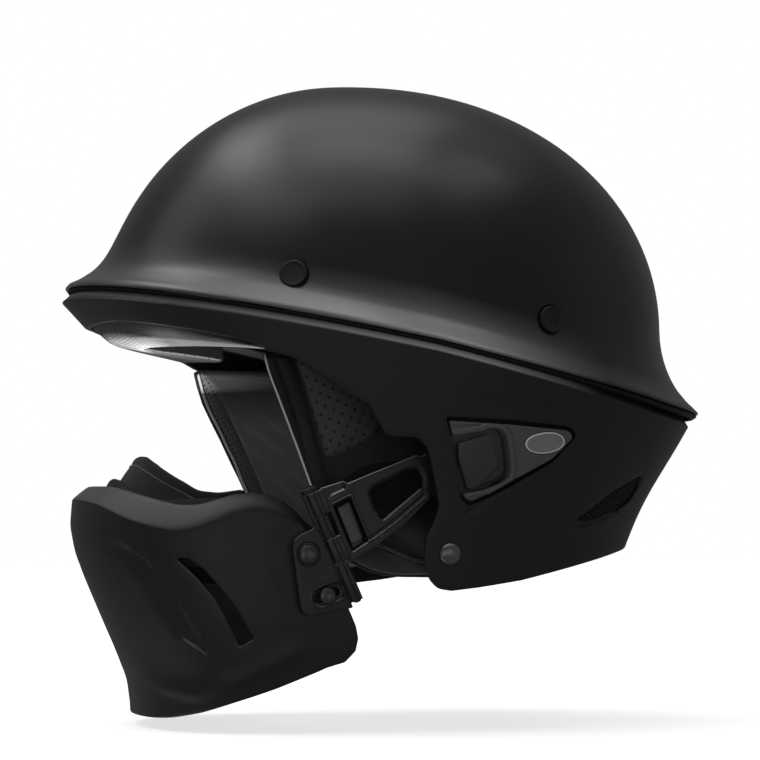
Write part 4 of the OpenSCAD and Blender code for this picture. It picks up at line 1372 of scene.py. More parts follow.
# ---------------------------------------------------------------------------
# triangular insert, its press plate and its blank badge
# ---------------------------------------------------------------------------
BZ_OUT = [(4.8, -34.5), (27.7, -29.5), (53.2, -25.0), (55.8, -25.7), (56.5, -27.8), (48.0, -39.0), (30.5, -54.0), (22.2, -61.6), (15.3, -66.7), (13.0, -66.8), (11.7, -65.2)]
BZ_IN = [(11.7, -64.7), (19.7, -60.8), (26.9, -55.8), (29.6, -52.5), (30.3, -48.9), (29.6, -43.6), (27.6, -34.9), (25.9, -32.8), (23.5, -32.3), (20.1, -33.4), (17.9, -35.3), (15.3, -36.3), (6.5, -40.5)]
c_shape = BZ_OUT + BZ_IN
c_round = [0.5, 0, 1.5, 2.5, 2.5, 0, 0, 0, 1.5, 1.5, 0.6, 0.6, 4, 5, 3, 4, 6, 4, 2.5, 3, 3, 2, 2, 0.8]
c_loop = round_corners(c_shape, c_round, 8)
BZ_IN_R = round_corners([(-2, -64)] + BZ_IN + [(-6, -44)], [0] + [0, 4, 5, 3, 4, 6, 4, 2.5, 3, 3, 2, 2, 0] + [0], 8)[1:-1]
BADGE_C = newton(skirt_uv, skirt_at(21.0, -56.2, 0.0), [43.5, -33.0])
BADGE_ANG = math.atan2(8.6, 17.5) - 0.04


def oval(cx, cy, a, b, ang, n=64, pw=2.15):
    out = []
    for i in range(n):
        t = 2 * math.pi * i / n
        x = a * math.copysign(abs(math.cos(t)) ** (2 / pw), math.cos(t))
        y = b * math.copysign(abs(math.sin(t)) ** (2 / pw), math.sin(t))
        out.append((cx + x * math.cos(ang) - y * math.sin(ang), cy + x * math.sin(ang) + y * math.cos(ang)))
    return out


badge_hole = oval(BADGE_C[0], BADGE_C[1], 9.3, 4.6, BADGE_ANG)


def bezel_top(u, v):
    P = np.stack([u, v], 1)
    d = seg_dist(P, open_segs(BZ_IN_R))
    o = np.full(len(u), -0.75)
    # the raised band round the window, with a groove outside it
    o -= 0.62 * ease((2.35 - d) / 0.7)
    o += 0.45 * (1 - ease((np.abs(d - 2.75) - 0.12) / 0.38)) * ease((u - 12) / 6)
    # the upper strip steps down towards the window
    o += 0.35 * (1 - ease((u - 15) / 4)) * ease((-36.2 + (u - 5.8) * 0.36 - v) / 0.6) * (v > -50)
    # the face falls away towards its tip
    o += 0.35 * ease((u - 46) / 12)
    return o


def bezel_bottom(u, v):
    d = seg_dist(np.stack([u, v], 1), open_segs(BZ_IN_R))
    return np.where(d < 1.7, 6.4, 2.6)


ex = along(BZ_IN_R, 0.7, (0.9, 1.3, 1.7, 2.1, 2.5, 2.75, 3.0, 3.4)) + along(BZ_IN_R, 0.7, (-0.9, -1.3, -1.7, -2.1, -2.5, -2.75, -3.0, -3.4))
ex += along([(5.8, -36.9), (17.0, -32.8)], 0.6, (-0.5, -0.2, 0.2, 0.5))
bezel_vf = plate(c_loop, [badge_hole], skirt_uv, bezel_top, bezel_bottom, step=1.3, r=0.45, rb=0.2, extra=ex, edge_step=0.6)
# the pocket's floor behind the window
tub = round_corners([(5, -39), (15, -34), (24, -31), (29, -33), (31.5, -49), (30, -55), (20, -63), (11, -66.5), (8, -54)], 2.0, 5)
tub_vf = plate(tub, [circle(18.4, -48.5, 3.6, 28)], skirt_uv, 6.3, 7.1, step=3.0, r=0.3, rb=0.3, edge_step=1.5)
two("insert_bezel", lambda s: [flip(bezel_vf, s), flip(tub_vf, s)], M_BEZEL, ("helmet", "helmet"), ("bezel_left", "bezel_right"), 32)

LATCH_P = [(9.0, -43.1), (21.9, -34.8), (25.6, -47.7), (27.7, -52.2), (15.1, -62.1), (13.4, -61.6), (9.4, -49.8)]
latch_loop = round_corners(LATCH_P, [1.0, 1.2, 0.8, 0.8, 1.0, 1.0, 2.0], 6)
FACET = [(30.0, -42.4), (26.2, -46.7), (17.6, -58.7), (15.6, -62.0)]


def latch_top(u, v):
    # the lower right corner steps down behind a slanting edge that fades out at its left end
    k = (u - 17.6) * (-12.0) + (v + 58.7) * (-8.6)
    side = (-(v + 58.7) * 8.6 + (u - 17.6) * 12.0) / math.hypot(8.6, 12.0)
    o = 0.55 + 0.9 * ease(side / 1.5) * (0.25 + 0.75 * ease((u - 16) / 8))
    # a slight crown, and the front edge set deeper
    o += 0.002 * ((u - 18) ** 2 + (v + 48) ** 2) + 0.25 * ease((11.5 - u) / 3.0)
    return o


fx = []
for sft in (-0.4, 0.0, 0.4, 0.8, 1.2, 1.6, 2.0):
    fx += along([(FACET[1][0] + sft * 0.81, FACET[1][1] - sft * 0.58), (FACET[2][0] + sft * 0.81, FACET[2][1] - sft * 0.58)], 0.6, (0.0,))
latch_vf = plate(latch_loop, [], skirt_uv, latch_top, 3.6, step=1.0, r=0.5, rb=0.3, extra=fx, edge_step=0.5)


def latch_parts(side):
    stud = rod(3.0, 0.0, 7.0, 32, 0.35)
    v = placed(stud[0], (100.2, 22, -64.5), (1, 0, 0))
    return [flip(latch_vf, side), flip((v, stud[1]), side)]


two("release_plate", latch_parts, M_LATCH, ("left_release", "right_release"), ("release_tab_left", "release_tab_right"), 32)


def badge_top(u, v):
    c, s = math.cos(BADGE_ANG), math.sin(BADGE_ANG)
    x, y = (u - BADGE_C[0]) * c + (v - BADGE_C[1]) * s, -(u - BADGE_C[0]) * s + (v - BADGE_C[1]) * c
    q = np.sqrt((x / 9.1) ** 2 + (y / 4.4) ** 2)
    # a bare field that crowns a little towards its middle
    return -1.22 + 0.18 * np.clip(1 - q * q, 0, 1)


bd = []
for k in (0.3, 0.55, 0.70, 0.8):
    bd += oval(BADGE_C[0], BADGE_C[1], 9.1 * k, 4.4 * k, BADGE_ANG, 72)
badge_vf = plate(oval(BADGE_C[0], BADGE_C[1], 8.25, 3.65, BADGE_ANG, 72), [], skirt_uv, badge_top, -0.2, step=1.2, r=0.2, rb=0.1, extra=bd, edge_step=0.5)
brim_vf = plate(oval(BADGE_C[0], BADGE_C[1], 9.1, 4.4, BADGE_ANG, 96), [oval(BADGE_C[0], BADGE_C[1], 8.35, 3.72, BADGE_ANG, 96)], skirt_uv, lambda u, v: -0.95 + 0 * u, -0.1, step=0.6, r=0.25, rb=0.1, edge_step=0.4)
bed_vf = plate(oval(BADGE_C[0], BADGE_C[1], 10.6, 5.9, BADGE_ANG, 64), [], skirt_uv, 0.1, 2.4, step=2.0, r=0.2, rb=0.2, edge_step=1.0)
two("badge_plate", lambda s: [flip(badge_vf, s)], M_BADGE, ("helmet", "helmet"), ("badge_left", "badge_right"), 30)
two("badge_rim", lambda s: [flip(brim_vf, s)], M_BADGE_RIM, ("helmet", "helmet"), (None, None), 30)
two("badge_bed", lambda s: [flip(bed_vf, s)], M_TRIM, ("helmet", "helmet"), (None, None), 30)
# a dark sheet behind the gap round the insert: painted shade that keeps the gap dark
GAP_SHADE_SHEET = [(5.0, -31.4), (26.4, -26.0), (53.2, -21.5), (58.0, -22.6), (60.4, -26.4), (49.9, -41.2), (32.6, -56.7), (18.6, -71.2), (9.6, -70.6),
          (7.4, -64.2), (11.0, -63.6), (12.6, -65.6), (14.6, -65.6), (20.4, -61.4), (24.6, -56.4), (29.2, -52.5), (46.5, -38.2), (54.0, -28.2), (52.5, -27.2), (28.0, -31.5), (6.0, -36.2)]
gap_shade_sheet_vf = plate(round_corners(GAP_SHADE_SHEET, [0.8] * len(GAP_SHADE_SHEET), 3), [], skirt_uv, SKIRT_WALL + 0.05, SKIRT_WALL + 0.75, step=2.4, r=0.1, rb=0.1, edge_step=1.4)
two("insert_gap_shade_sheet", lambda s: [flip(gap_shade_sheet_vf, s)], M_TRIM, ("helmet", "helmet"), (None, None), 30)

# ---------------------------------------------------------------------------
# mesh in the rear slots
# ---------------------------------------------------------------------------
vent_poly = hole_chart([(66, -92.5), (75, -86.4), (90, -76.6), (101, -71.6), (111, -68.0), (109.5, -75.4), (103, -82.8), (95.4, -87.4), (86, -90), (77, -92.6)], 1.0, 2.0)


def in_vent(P):
    return inside(P, [vent_poly])


def mesh_ribs():
    parts = []
    lo, hi = arr(vent_poly).min(0), arr(vent_poly).max(0)
    for ang, pitch, rr, dip in ((math.radians(66), 1.75, 0.42, 0.0), (math.radians(-18), 2.5, 0.30, 0.35)):
        d = arr([math.cos(ang), math.sin(ang)])
        n = arr([-d[1], d[0]])
        c0 = (lo + hi) / 2
        R = np.linalg.norm(hi - lo)
        k = -R / 2
        while k < R / 2:
            ts = np.arange(-R / 2, R / 2, 0.8)
            P = c0 + n * k + ts[:, None] * d
            ok = in_vent(P)
            i = 0
            while i < len(P):
                if ok[i]:
                    j = i
                    while j + 1 < len(P) and ok[j + 1]:
                        j += 1
                    if j - i >= 3:
                        q = P[i : j + 1]
                        wob = dip * np.cos(ts[i : j + 1] * 2 * math.pi / 3.5)
                        path = skirt_uv(q[:, 0], q[:, 1], 2.0 + wob)
                        sec = [(rr * math.cos(a), rr * math.sin(a)) for a in np.linspace(0, 2 * math.pi, 6, endpoint=False)]
                        parts.append(sweep(path, lambda kk, tt, s=sec: s, ups=[(0, 0, 1)] * len(path)))
                    i = j + 1
                else:
                    i += 1
            k += pitch
    return parts


rib_parts = mesh_ribs()
back_vf = plate(vent_poly, [], skirt_uv, 2.75, 3.2, step=3.0, r=0.15, rb=0.1, edge_step=2.0)
two("vent_screen", lambda s: [flip(p, s) for p in rib_parts], M_MESH, ("helmet", "helmet"), ("vent_mesh_left", "vent_mesh_right"), 40)
two("vent_backing", lambda s: [flip(back_vf, s)], M_TRIM, ("helmet", "helmet"), (None, None), 40)

# ---------------------------------------------------------------------------
# strap rivets
# ---------------------------------------------------------------------------
riv_c = skirt_at(3.6, -105.4, 0.0)
riv_prof = [(0, 2.55), (0.8, 2.53), (1.7, 2.42), (2.6, 2.2), (3.4, 1.86), (4.1, 1.42), (4.6, 0.95), (4.9, 0.55), (4.95, 0.3), (4.8, 0.12), (4.4, 0.08), (2.4, 0.08), (1.8, -0.2), (1.8, -7.0), (0, -7.0)]
rv, rf = lathe(riv_prof[::-1], 56)


def rivet_parts(side):
    ax = (math.sin(math.radians(96)), 0, math.cos(math.radians(96)))
    return [flip((placed(rv, riv_c, ax), rf), side)]


V, F = join_parts(rivet_parts(1) + rivet_parts(-1))
rivets = new_object("strap_rivet_pair", V, F, M_RIVET, sharp=45)
piece(rivets, "helmet", ["strap_rivets"])

# ---------------------------------------------------------------------------
# arms in their own frame: y back along the arm, z up the hinge
# ---------------------------------------------------------------------------
ARM = [(4, -9.9), (18.5, -7.8), (27.8, -5.7), (35, -3.5), (44, 0), (49, 2.2), (58, 3), (83, 4), (83, 19), (58, 20.2), (52, 20.4), (50, 21.7), (29, 22.3), (16, 22.5), (15, 24.2), (4, 25.4)]
ARM_R = [1.0, 0, 6, 6, 8, 3, 0, 2.5, 2.5, 0, 1, 1.5, 0, 0.6, 0.6, 0.8]
ARM_WIN = [(6.0, 16.3), (14.9, 16.8), (14.6, -4.9), (5.9, -6.3)]
ARM_TRI = [(24.3, 14.6), (26.5, 16.4), (44, 17), (48.0, 15.6), (48.4, 11.5), (46.2, 7.2), (35, 4.0), (24.2, 0.9), (23.2, 4.2)]
arm_loop = round_corners(ARM, ARM_R, 6)
win_loop = round_corners(ARM_WIN, 0.6, 4)
tri_loop = round_corners(ARM_TRI, [1.2, 2, 2, 1.5, 1.5, 1.5, 0, 1.2, 1.5], 6)
FRAME_EDGE = [(3.8, -9.5), (4.8, 17.4), (5.6, 19.4), (7.4, 20.5), (14.2, 20.8), (15.2, 22.9)]
BAR_GROOVE = [(15.2, -3.9), (22.5, -2.5), (31.9, -0.2), (45.6, 4.0)]
FRAME_AREA = [(3.6, 17.8), (5.3, 19.9), (7.4, 21.0), (14.0, 21.2), (14.9, 26.5), (2, 26.5)]


def arm_top(u, v):
    P = np.stack([u, v], 1)
    # the corner above the frame lies lower, behind a thin step
    low = inside(P, [FRAME_AREA])
    d = seg_dist(P, open_segs(FRAME_AREA[:5]))
    sd = np.where(low, d, -d)
    o = 1.0 * ease((sd + 0.25) / 0.5)
    o += ridge(u, v, [(5.3, 19.9), (7.4, 21.0), (14.0, 21.2), (14.9, 24.4)], 0.55, 0.55)
    # two lines run along the lower bar
    o += ridge(u, v, BAR_GROOVE, 1.1, 0.7) + ridge(u, v, [(15.0, -5.8), (22.8, -4.4), (32.4, -2.1), (46.0, 2.0)], 0.35, 0.25)
    # chamfer round the triangular window, and a rim round the press tab
    dt = seg_dist(P, open_segs(tri_loop + tri_loop[:1]))
    o += 0.9 * (1 - ease(dt / 1.9)) * ease((v - 5.0) / 3.0)
    dw = seg_dist(P, open_segs(win_loop + win_loop[:1]))
    o += 0.28 * (1 - ease((np.abs(dw - 1.35) - 0.1) / 0.35)) * (u > 6) * (v > -5)
    # the tail that slides into the pocket is a touch thinner
    o += 0.35 * ease((u - 57.0) / 1.5)
    return o


ex = along(FRAME_AREA[:5], 0.6, (-0.5, -0.25, 0.0, 0.25, 0.5)) + along(BAR_GROOVE, 0.8, (-1.0, -0.6, -0.2, 0.2, 0.6, 1.0)) + along([(15.0, -5.8), (22.8, -4.4), (32.4, -2.1), (46.0, 2.0)], 0.8, (-0.3, 0.0, 0.3))
ex += along(tri_loop + tri_loop[:1], 0.9, (-0.5, -1.0, -1.5, -1.9, 0.5, 1.0, 1.5, 1.9)) + along(win_loop + win_loop[:1], 0.9, (0.9, 1.2, 1.5, 1.8, -0.9, -1.2, -1.5, -1.8))
arm_fill = flat_fill(arm_loop, [win_loop, tri_loop], 1.7, rings_for(0.5), None, ex, 0.8)


def bar_section(z0, z1, groove=True):
    """One knuckle of the hinge: a rounded bar with a line down its outer face."""
    sec = []
    for cx, cy, a0 in ((1.7, 1.45, 0), (-1.7, 1.45, 90), (-1.7, -1.7, 180), (1.7, -1.7, 270)):
        for k in range(6):
            a = math.radians(a0 + 90 * k / 5)
            sec.append((cx + 0.9 * math.cos(a), cy + 0.9 * math.sin(a)))
        if a0 == 270 and groove:
            for y, x in ((-1.0, 2.6), (-0.5, 2.6), (-0.35, 2.15), (0.15, 2.1), (0.35, 2.6), (0.7, 2.6)):
                sec.append((x, y))
    loops = []
    for ins, z in ((0.30, z0), (0.09, z0 + 0.09), (0.0, z0 + 0.3), (0.0, z1 - 0.3), (0.09, z1 - 0.09), (0.30, z1)):
        k = 1 - ins / 2.6
        loops.append([(x * k, y * k, z) for x, y in sec])
    return loft(loops)


def arm_parts(side):
    v, f = shell_from(arm_fill, lambda u, w, o: arm_pt(2.5 - o, u, w, side), arm_top, 5.0, 0.5, 0.4)
    out = [(v, f)]
    for z0, z1 in ((-8.4, 3.0), (14.0, 24.9)):
        out.append(in_arm(bar_section(z0 + 0.06, z1 - 0.06), side))
        out.append(in_arm(block(-2.0, 2.0, 1.2, 5.0, z0 + 0.1, z1 - 0.1, 0.3), side))
    return out


arms = two("carrier_arm", arm_parts, M_ARM, ("left_arm", "right_arm"), ("arm_left", "arm_right"), 30)
two("arm_magnet", lambda s: [in_arm(block(-1.4, 1.4, 78.1, 82.95, 7, 16, 0.3), s)], M_MAGNET, ("left_arm", "right_arm"), ("arm_magnets_left", "arm_magnets_right"), 40)

TAB = [(7.4, 14.4), (13.6, 14.8), (13.0, -1.6), (12.2, -3.4), (10.4, -4.2), (7.0, -4.8)]
tab_loop = round_corners(TAB, [0.6, 0.6, 0.8, 0.6, 0.6, 0.8], 5)


def tab_top(u, v):
    o = 0.0 * u
    o += 0.35 * ease((-2.6 - v + (u - 7) * 0.1) / 0.5)
    o += 0.12 * ((u - 10.3) / 3.2) ** 2
    return o


tab_fill = flat_fill(tab_loop, [], 1.1, rings_for(0.5), None, along([(6.5, -2.6), (14, -2.0)], 0.5, (-0.3, 0, 0.3)), 0.6)
two("press_tab", lambda s: [shell_from(tab_fill, lambda u, w, o: arm_pt(2.15 - o, u, w, s), tab_top, 3.3, 0.5, 0.3)], M_LATCH, ("left_arm_tab", "right_arm_tab"), ("arm_tab_left", "arm_tab_right"), 35)

# ---------------------------------------------------------------------------
# hinge brackets
# ---------------------------------------------------------------------------
BRACKET = [(-2.9, 10.9), (-6.2, 10.0), (-12.0, 9.9), (-15.8, 8.6), (-17.8, 5.6), (-24.4, -18.6), (-24.6, -22.0), (-22.8, -24.6), (-2.9, -29.3)]
brk_loop = round_corners(BRACKET, [0.6, 5, 4, 3, 4, 3, 1.2, 1.4, 0.7], 7)
slot_c, slot_ang = (-11.0, -19.4), math.radians(-2)
rim_a, hole_a = pill(slot_c[0], slot_c[1], 3.5, 4.3, slot_ang), pill(-11.6, -19.6, 3.4, 2.3, 0)
upper_hole = circle(-12, 0.6, 2.05, 32)


def bracket_top(u, v):
    P = np.stack([u, v], 1)
    dr = seg_dist(P, open_segs(rim_a + rim_a[:1]))
    inn = inside(P, [rim_a])
    o = np.where(inn, 0.95 * ease(dr / 0.55), 0.0)
    o -= 0.38 * (1 - ease(np.abs(dr) / 0.85))
    # a ring cut round the upper screw
    rs = np.hypot(u + 12, v - 0.6)
    o += 0.3 * (1 - ease((np.abs(rs - 4.95) - 0.12) / 0.4)) + 0.15 * ease((4.6 - rs) / 0.4)
    # the face dips a little above the slot and rounds off to the outer side
    o += 0.35 * np.exp(-(((u + 12.5) / 5.0) ** 2) - ((v + 10.5) / 3.2) ** 2)
    o += 0.45 * ease((-(u * 0.967 + v * -0.255) - 17.6) / 4.0)
    return o


ex = along(rim_a + rim_a[:1], 0.55, (-0.8, -0.45, 0.0, 0.3, 0.55, 0.8))
for k in (4.3, 4.6, 4.85, 5.05, 5.3, 5.6):
    ex += circle(-12, 0.6, k, 56)
brk_fill = flat_fill(brk_loop, [upper_hole, hole_a], 1.5, rings_for(0.6), None, ex, 0.7)


def bracket_parts(side):
    v, f = shell_from(brk_fill, lambda u, w, o: arm_pt(-0.2 - o, u, w, side), bracket_top, 3.0, 0.6, 0.4)
    out = [(v, f)]
    for z0, z1 in ((-27.0, -9.0), (3.5, 13.5), (25.4, 27.5)):
        out.append(in_arm(bar_section(z0 + 0.06, z1 - 0.06), side))
    out.append(in_arm(block(-3.1, -0.3, -4.3, -1.2, -26.9, -9.1, 0.3), side))
    out.append(in_arm(block(-3.1, -0.3, -4.3, -1.2, 3.6, 10.6, 0.3), side))
    out.append(in_arm(block(-1.4, 1.4, -4.8, -3.3, 8.6, 27.4, 0.35), side))
    out.append(in_arm(block(-1.4, 1.4, -4.8, -0.6, 25.5, 27.4, 0.35), side))
    return out


two("hinge_bracket", bracket_parts, M_BRACKET, ("left_bracket", "right_bracket"), ("bracket_left", "bracket_right"), 32)


def pin_parts(side):
    v, f = lathe([(0, -27.9), (0.9, -27.8), (1.5, -27.5), (1.6, -27.1), (1.3, -26.9), (1.3, 27.3), (1.6, 27.5), (1.5, 27.95), (0.9, 28.2), (0, 28.3)], 32)
    return [(arm_pt(v[:, 0], v[:, 1], v[:, 2], side), f)]


two("hinge_rod", pin_parts, M_SCREW, ("left_bracket", "right_bracket"), ("hinge_pin_left", "hinge_pin_right"), 40)


def screw_parts(side):
    out = []
    for y, z, R, h in ((-12.0, 0.6, 4.4, 2.1), (-11.6, -19.6, 3.75, 2.0)):
        head = button_head(R, h, 2.0 if R > 4 else 1.6, 1.3)
        vv = arr(head[0])
        # turn the head's own z to the outward x
        out.append((arm_pt(0.1 + vv[:, 2], y + vv[:, 0], z + vv[:, 1], side), head[1]))
        sh = rod(1.95, -11.0, 0.3, 28, 0.3)
        out.append((arm_pt(sh[0][:, 2], y + sh[0][:, 0], z + sh[0][:, 1], side), sh[1]))
        loops = []
        for k, x in ((0.94, -11.5), (1.0, -11.1), (1.0, -9.3), (0.94, -8.95)):
            loops.append([(x, y + hex_r(3.2 * k, 2 * math.pi * i / 48) * math.cos(2 * math.pi * i / 48), z + hex_r(3.2 * k, 2 * math.pi * i / 48) * math.sin(2 * math.pi * i / 48)) for i in range(48)])
        out.append(in_arm(loft(loops), side))
    # ribs round the upper head's edge
    for i in range(20):
        a = 2 * math.pi * i / 20
        b = block(0.25, 1.15, -0.28, 0.28, 4.25, 4.62, 0.12)
        vv = arr(b[0])
        out.append((arm_pt(0.1 + vv[:, 0], -12.0 + vv[:, 2] * math.cos(a) - vv[:, 1] * math.sin(a), 0.6 + vv[:, 2] * math.sin(a) + vv[:, 1] * math.cos(a), side), b[1]))
    return out


two("bracket_screw_pair", screw_parts, M_SCREW, ("muzzle", "muzzle"), ("bracket_screws_left", "bracket_screws_right"), 35)


# ---------------------------------------------------------------------------
# receivers, from their own construction shape with eased edges
# ---------------------------------------------------------------------------
def eased_copy(node_name, new_name, mat, width=0.4, body="helmet"):
    """A node's own shape with its sharp edges rounded."""
    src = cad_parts[node_name]
    me = src.data.copy()
    me.name = new_name
    bm = bmesh.new()
    bm.from_mesh(me)
    bmesh.ops.remove_doubles(bm, verts=bm.verts, dist=1e-6)
    bmesh.ops.dissolve_limit(bm, angle_limit=math.radians(1.0), verts=bm.verts, edges=bm.edges)
    bmesh.ops.recalc_face_normals(bm, faces=bm.faces)
    sharp_edges = [e for e in bm.edges if len(e.link_faces) == 2 and e.calc_face_angle(0) > math.radians(32)]
    bmesh.ops.bevel(bm, geom=sharp_edges, offset=width * MM, segments=3, profile=0.6, affect="EDGES", clamp_overlap=True)
    bmesh.ops.remove_doubles(bm, verts=bm.verts, dist=1e-7)
    bmesh.ops.triangulate(bm, faces=[f for f in bm.faces if len(f.verts) > 4])
    bm.to_mesh(me)
    bm.free()
    me.materials.clear()
    me.materials.append(mat)
    me.shade_smooth()
    me.set_sharp_from_angle(angle=math.radians(32))
    ob = bpy.data.objects.new(new_name, me)
    scene.collection.objects.link(ob)
    piece(ob, body, [node_name])
    return ob


for tag in ("left", "right"):
    eased_copy(f"receiver_{tag}", f"receiver_pocket_{tag}", M_RECV, 0.5, "helmet")
eased_copy("receiver_magnets", "pocket_magnets", M_MAGNET, 0.25, "helmet")

# ---------------------------------------------------------------------------
# soft goods: a stuffed cover blown up by a short cloth run
# ---------------------------------------------------------------------------
def puffed(V, F, sewn, pressure=4.0, mass=0.05, cap=2.2, frames=14):
    """The closed form swollen like a stuffed cover. sewn is 1 where a point is stitched down, 0 where it is free."""
    V = arr(V)
    me = bpy.data.meshes.new("cover")
    me.from_pydata((V * MM).tolist(), [], [tuple(int(i) for i in f) for f in F])
    bm = bmesh.new()
    bm.from_mesh(me)
    bmesh.ops.recalc_face_normals(bm, faces=bm.faces)
    bm.to_mesh(me)
    bm.free()
    ob = bpy.data.objects.new("cover", me)
    scene.collection.objects.link(ob)
    vg = ob.vertex_groups.new(name="sewn")
    for i, w in enumerate(sewn):
        if w > 0.02:
            vg.add([i], float(min(w, 1.0)), "REPLACE")
    mod = ob.modifiers.new("cloth", "CLOTH")
    s = mod.settings
    s.quality = 4
    s.mass = mass
    s.tension_stiffness = s.compression_stiffness = 12
    s.shear_stiffness = 5
    s.bending_stiffness = 0.5
    s.use_pressure = True
    s.uniform_pressure_force = pressure
    s.effector_weights.gravity = 0
    s.vertex_group_mass = "sewn"
    mod.collision_settings.use_collision = False
    for f in range(1, frames + 1):
        scene.frame_set(f)
    done = ob.evaluated_get(bpy.context.evaluated_depsgraph_get()).to_mesh()
    W = np.empty(len(done.vertices) * 3)
    done.vertices.foreach_get("co", W)
    W = W.reshape(-1, 3) / MM
    bpy.data.objects.remove(ob)
    bpy.data.meshes.remove(me)
    scene.frame_set(1)
    D = W - V
    L = np.linalg.norm(D, axis=1)
    k = np.where(L > 1e-6, cap * np.tanh(L / cap) / np.maximum(L, 1e-6), 0)
    print("puffed", len(V), "largest move", round(float(L.max()), 2), "mean", round(float(L.mean()), 3))
    return V + D * k[:, None]


def soft_piece(name, V, F, mat, body, nodes=(), sharp=None, subdiv=True):
    ob = new_object(name, V, F, mat, sharp=sharp)
    if subdiv:
        m = ob.modifiers.new("round", "SUBSURF")
        m.levels = m.render_levels = 1
        ev = ob.evaluated_get(bpy.context.evaluated_depsgraph_get())
        me = bpy.data.meshes.new_from_object(ev)
        old = ob.data
        ob.modifiers.clear()
        ob.data = me
        bpy.data.meshes.remove(old)
    piece(ob, body, list(nodes))
    return ob


def tube(points, r, n=10, flat=1.0, up=None, close=False, step=1.2, taper=True):
    """A welt or cord along a line, its ends drawn in."""
    P = arr(points)
    L = float(np.linalg.norm(np.diff(P, axis=0), axis=1).sum())
    m = max(6, int(L / step))
    if close:
        q = np.vstack([P, P[:1]])
        P = catmull(q, m + 1)[:-1]
    else:
        P = catmull(P, m)

    def sec(k, t):
        e = 1.0
        if taper and not close:
            s = min(k, m - 1 - k) / 1.6
            e = max(0.12, min(1.0, math.sin(min(1.0, s) * math.pi / 2)))
        return [(r * e * math.cos(a), r * e * flat * math.sin(a)) for a in np.linspace(0, 2 * math.pi, n, endpoint=False)]

    ups = [up if up is not None else (0.3, 0.2, 1)] * len(P)
    return sweep(P, sec, closed=close, ups=ups)


# ---------------------------------------------------------------------------
# cheek flaps: side view outlines (Y, Z); x runs inward from the outer face
# ---------------------------------------------------------------------------
REST = [(-35, -107), (-29.5, -110.4), (-23.5, -113.4), (-16.5, -115.4), (-8, -116.2), (7.5, -116.4), (16.6, -111.3), (21.8, -90), (23.8, -60), (24.8, -28), (0, -22), (-40, -16.6)]
FRONTS = {1: [(-68, -16.2), (-71.4, -16.6), (-68.4, -24.6), (-61.6, -42.4), (-54.8, -60.2), (-49.4, -74.9), (-43.6, -90), (-38.6, -102.5)],
          -1: [(-74, -16.2), (-77.4, -17.4), (-75.8, -24.0), (-72.9, -33.1), (-68.6, -42), (-64.0, -50.9), (-59.2, -61), (-54.4, -70.6), (-47.2, -86), (-38.6, -102.5)]}
WELTS = {1: [(-71.0, -16.6), (-68.8, -24.6), (-65.4, -33.6), (-62.0, -42.4), (-58.6, -51.3), (-55.2, -60.2), (-49.8, -74.9), (-43.8, -90), (-38.8, -102)],
         -1: [(-75.4, -17.4), (-74.3, -22), (-72.0, -30.0), (-68.6, -38), (-64.4, -46.0), (-60.6, -54), (-56.7, -61.9), (-52.5, -72.1), (-45.5, -87), (-38.2, -101)]}
CUSHION = {1: [(-68.6, -18.0), (-66.2, -20.9), (-61.6, -29.0), (-56.0, -40), (-50.0, -52.5), (-45.4, -64), (-41.6, -74), (-37, -88), (-32.4, -99.4), (-26.6, -106)],
           -1: [(-72.8, -17.9), (-71.2, -20.0), (-67.6, -24.4), (-61.0, -37.0), (-54.6, -50.8), (-50.0, -61), (-45.6, -70.8), (-39.5, -84.6), (-33.4, -98.4), (-27.0, -105.6)]}
CUSHION_REST = [(-18, -110.6), (-8, -112.4), (6, -112.6), (13.8, -107.8), (18.6, -88), (20.6, -60), (21.2, -33), (0, -26), (-40, -19.4), (-66, -17.7)]


def flap_fn(side):
    return lambda u, v, o: np.stack([side * (84.0 - np.asarray(o, float)), np.asarray(u, float) + 0 * o, np.asarray(v, float) + 0 * o], -1)


GUS = [(-66.6, -17.2), (-63.0, -26.5), (-59.5, -36.5), (-55.4, -50.4), (-51.2, -68.2), (-46.6, -84), (-41.0, -101.5)]
BAND = [(-58.6, -17.4), (-54.6, -28), (-51.3, -38.5), (-47.6, -52.0), (-44.2, -64.5), (-41.4, -74), (-38.6, -86), (-36, -104.5)]
PANEL = [(-57.4, -17.5), (-53.4, -28), (-50.2, -38.5), (-46.5, -52.0), (-43.2, -62.6), (-38.5, -62.6), (-31.5, -59.2), (-24.5, -55.6), (-20.0, -51.6), (-17.6, -46), (-15, -36), (-12, -22.5), (-40, -17.6)]
LOWER = [(-40.4, -77), (-36.0, -71.6), (-28, -66.6), (-20, -63.8), (-8, -62.5), (20.5, -60), (19.0, -88), (16, -103), (9, -108.6), (0.8, -107.6), (-8, -105.0), (-17.6, -101.0), (-33.5, -99.0), (-36.4, -90)]
HEM = [(-33.6, -101.4), (-17.8, -103.6), (-8, -107.4), (0.8, -110.2), (9.5, -111.4), (6.8, -114.8), (-8, -115.2), (-16.5, -114.2), (-23.0, -112.2), (-29.0, -109.2), (-34.0, -105.8)]


def strip(a, b):
    return list(a) + list(b)[::-1]


def crown_over(fill, height, reach_):
    """Face height of a stuffed panel: it rises from its seam."""
    return lambda d: height * (1 - np.exp(-d / reach_))


def panel_mesh(side, outline, base, rise, reach_, back_, step=2.0, r=0.9, corner=1.2, wrinkle=None):
    """A panel on the outer face: base is its depth at the seam, rise how far it swells outward from there."""
    loop = round_corners(outline, corner, 4)
    fill = flat_fill(loop, [], step, rings_for(r), None, None, step * 0.6)
    P, F, D, rim = fill
    rise_ = rise * (1 - np.exp(-np.maximum(D - 0.2, 0) / reach_))
    if wrinkle is not None:
        rise_ = rise_ + wrinkle(P[:, 0], P[:, 1]) * np.clip(D / 3.0, 0, 1)
    return shell_from(fill, flap_fn(side), lambda u, v: base - rise_, back_, r, 0.3)


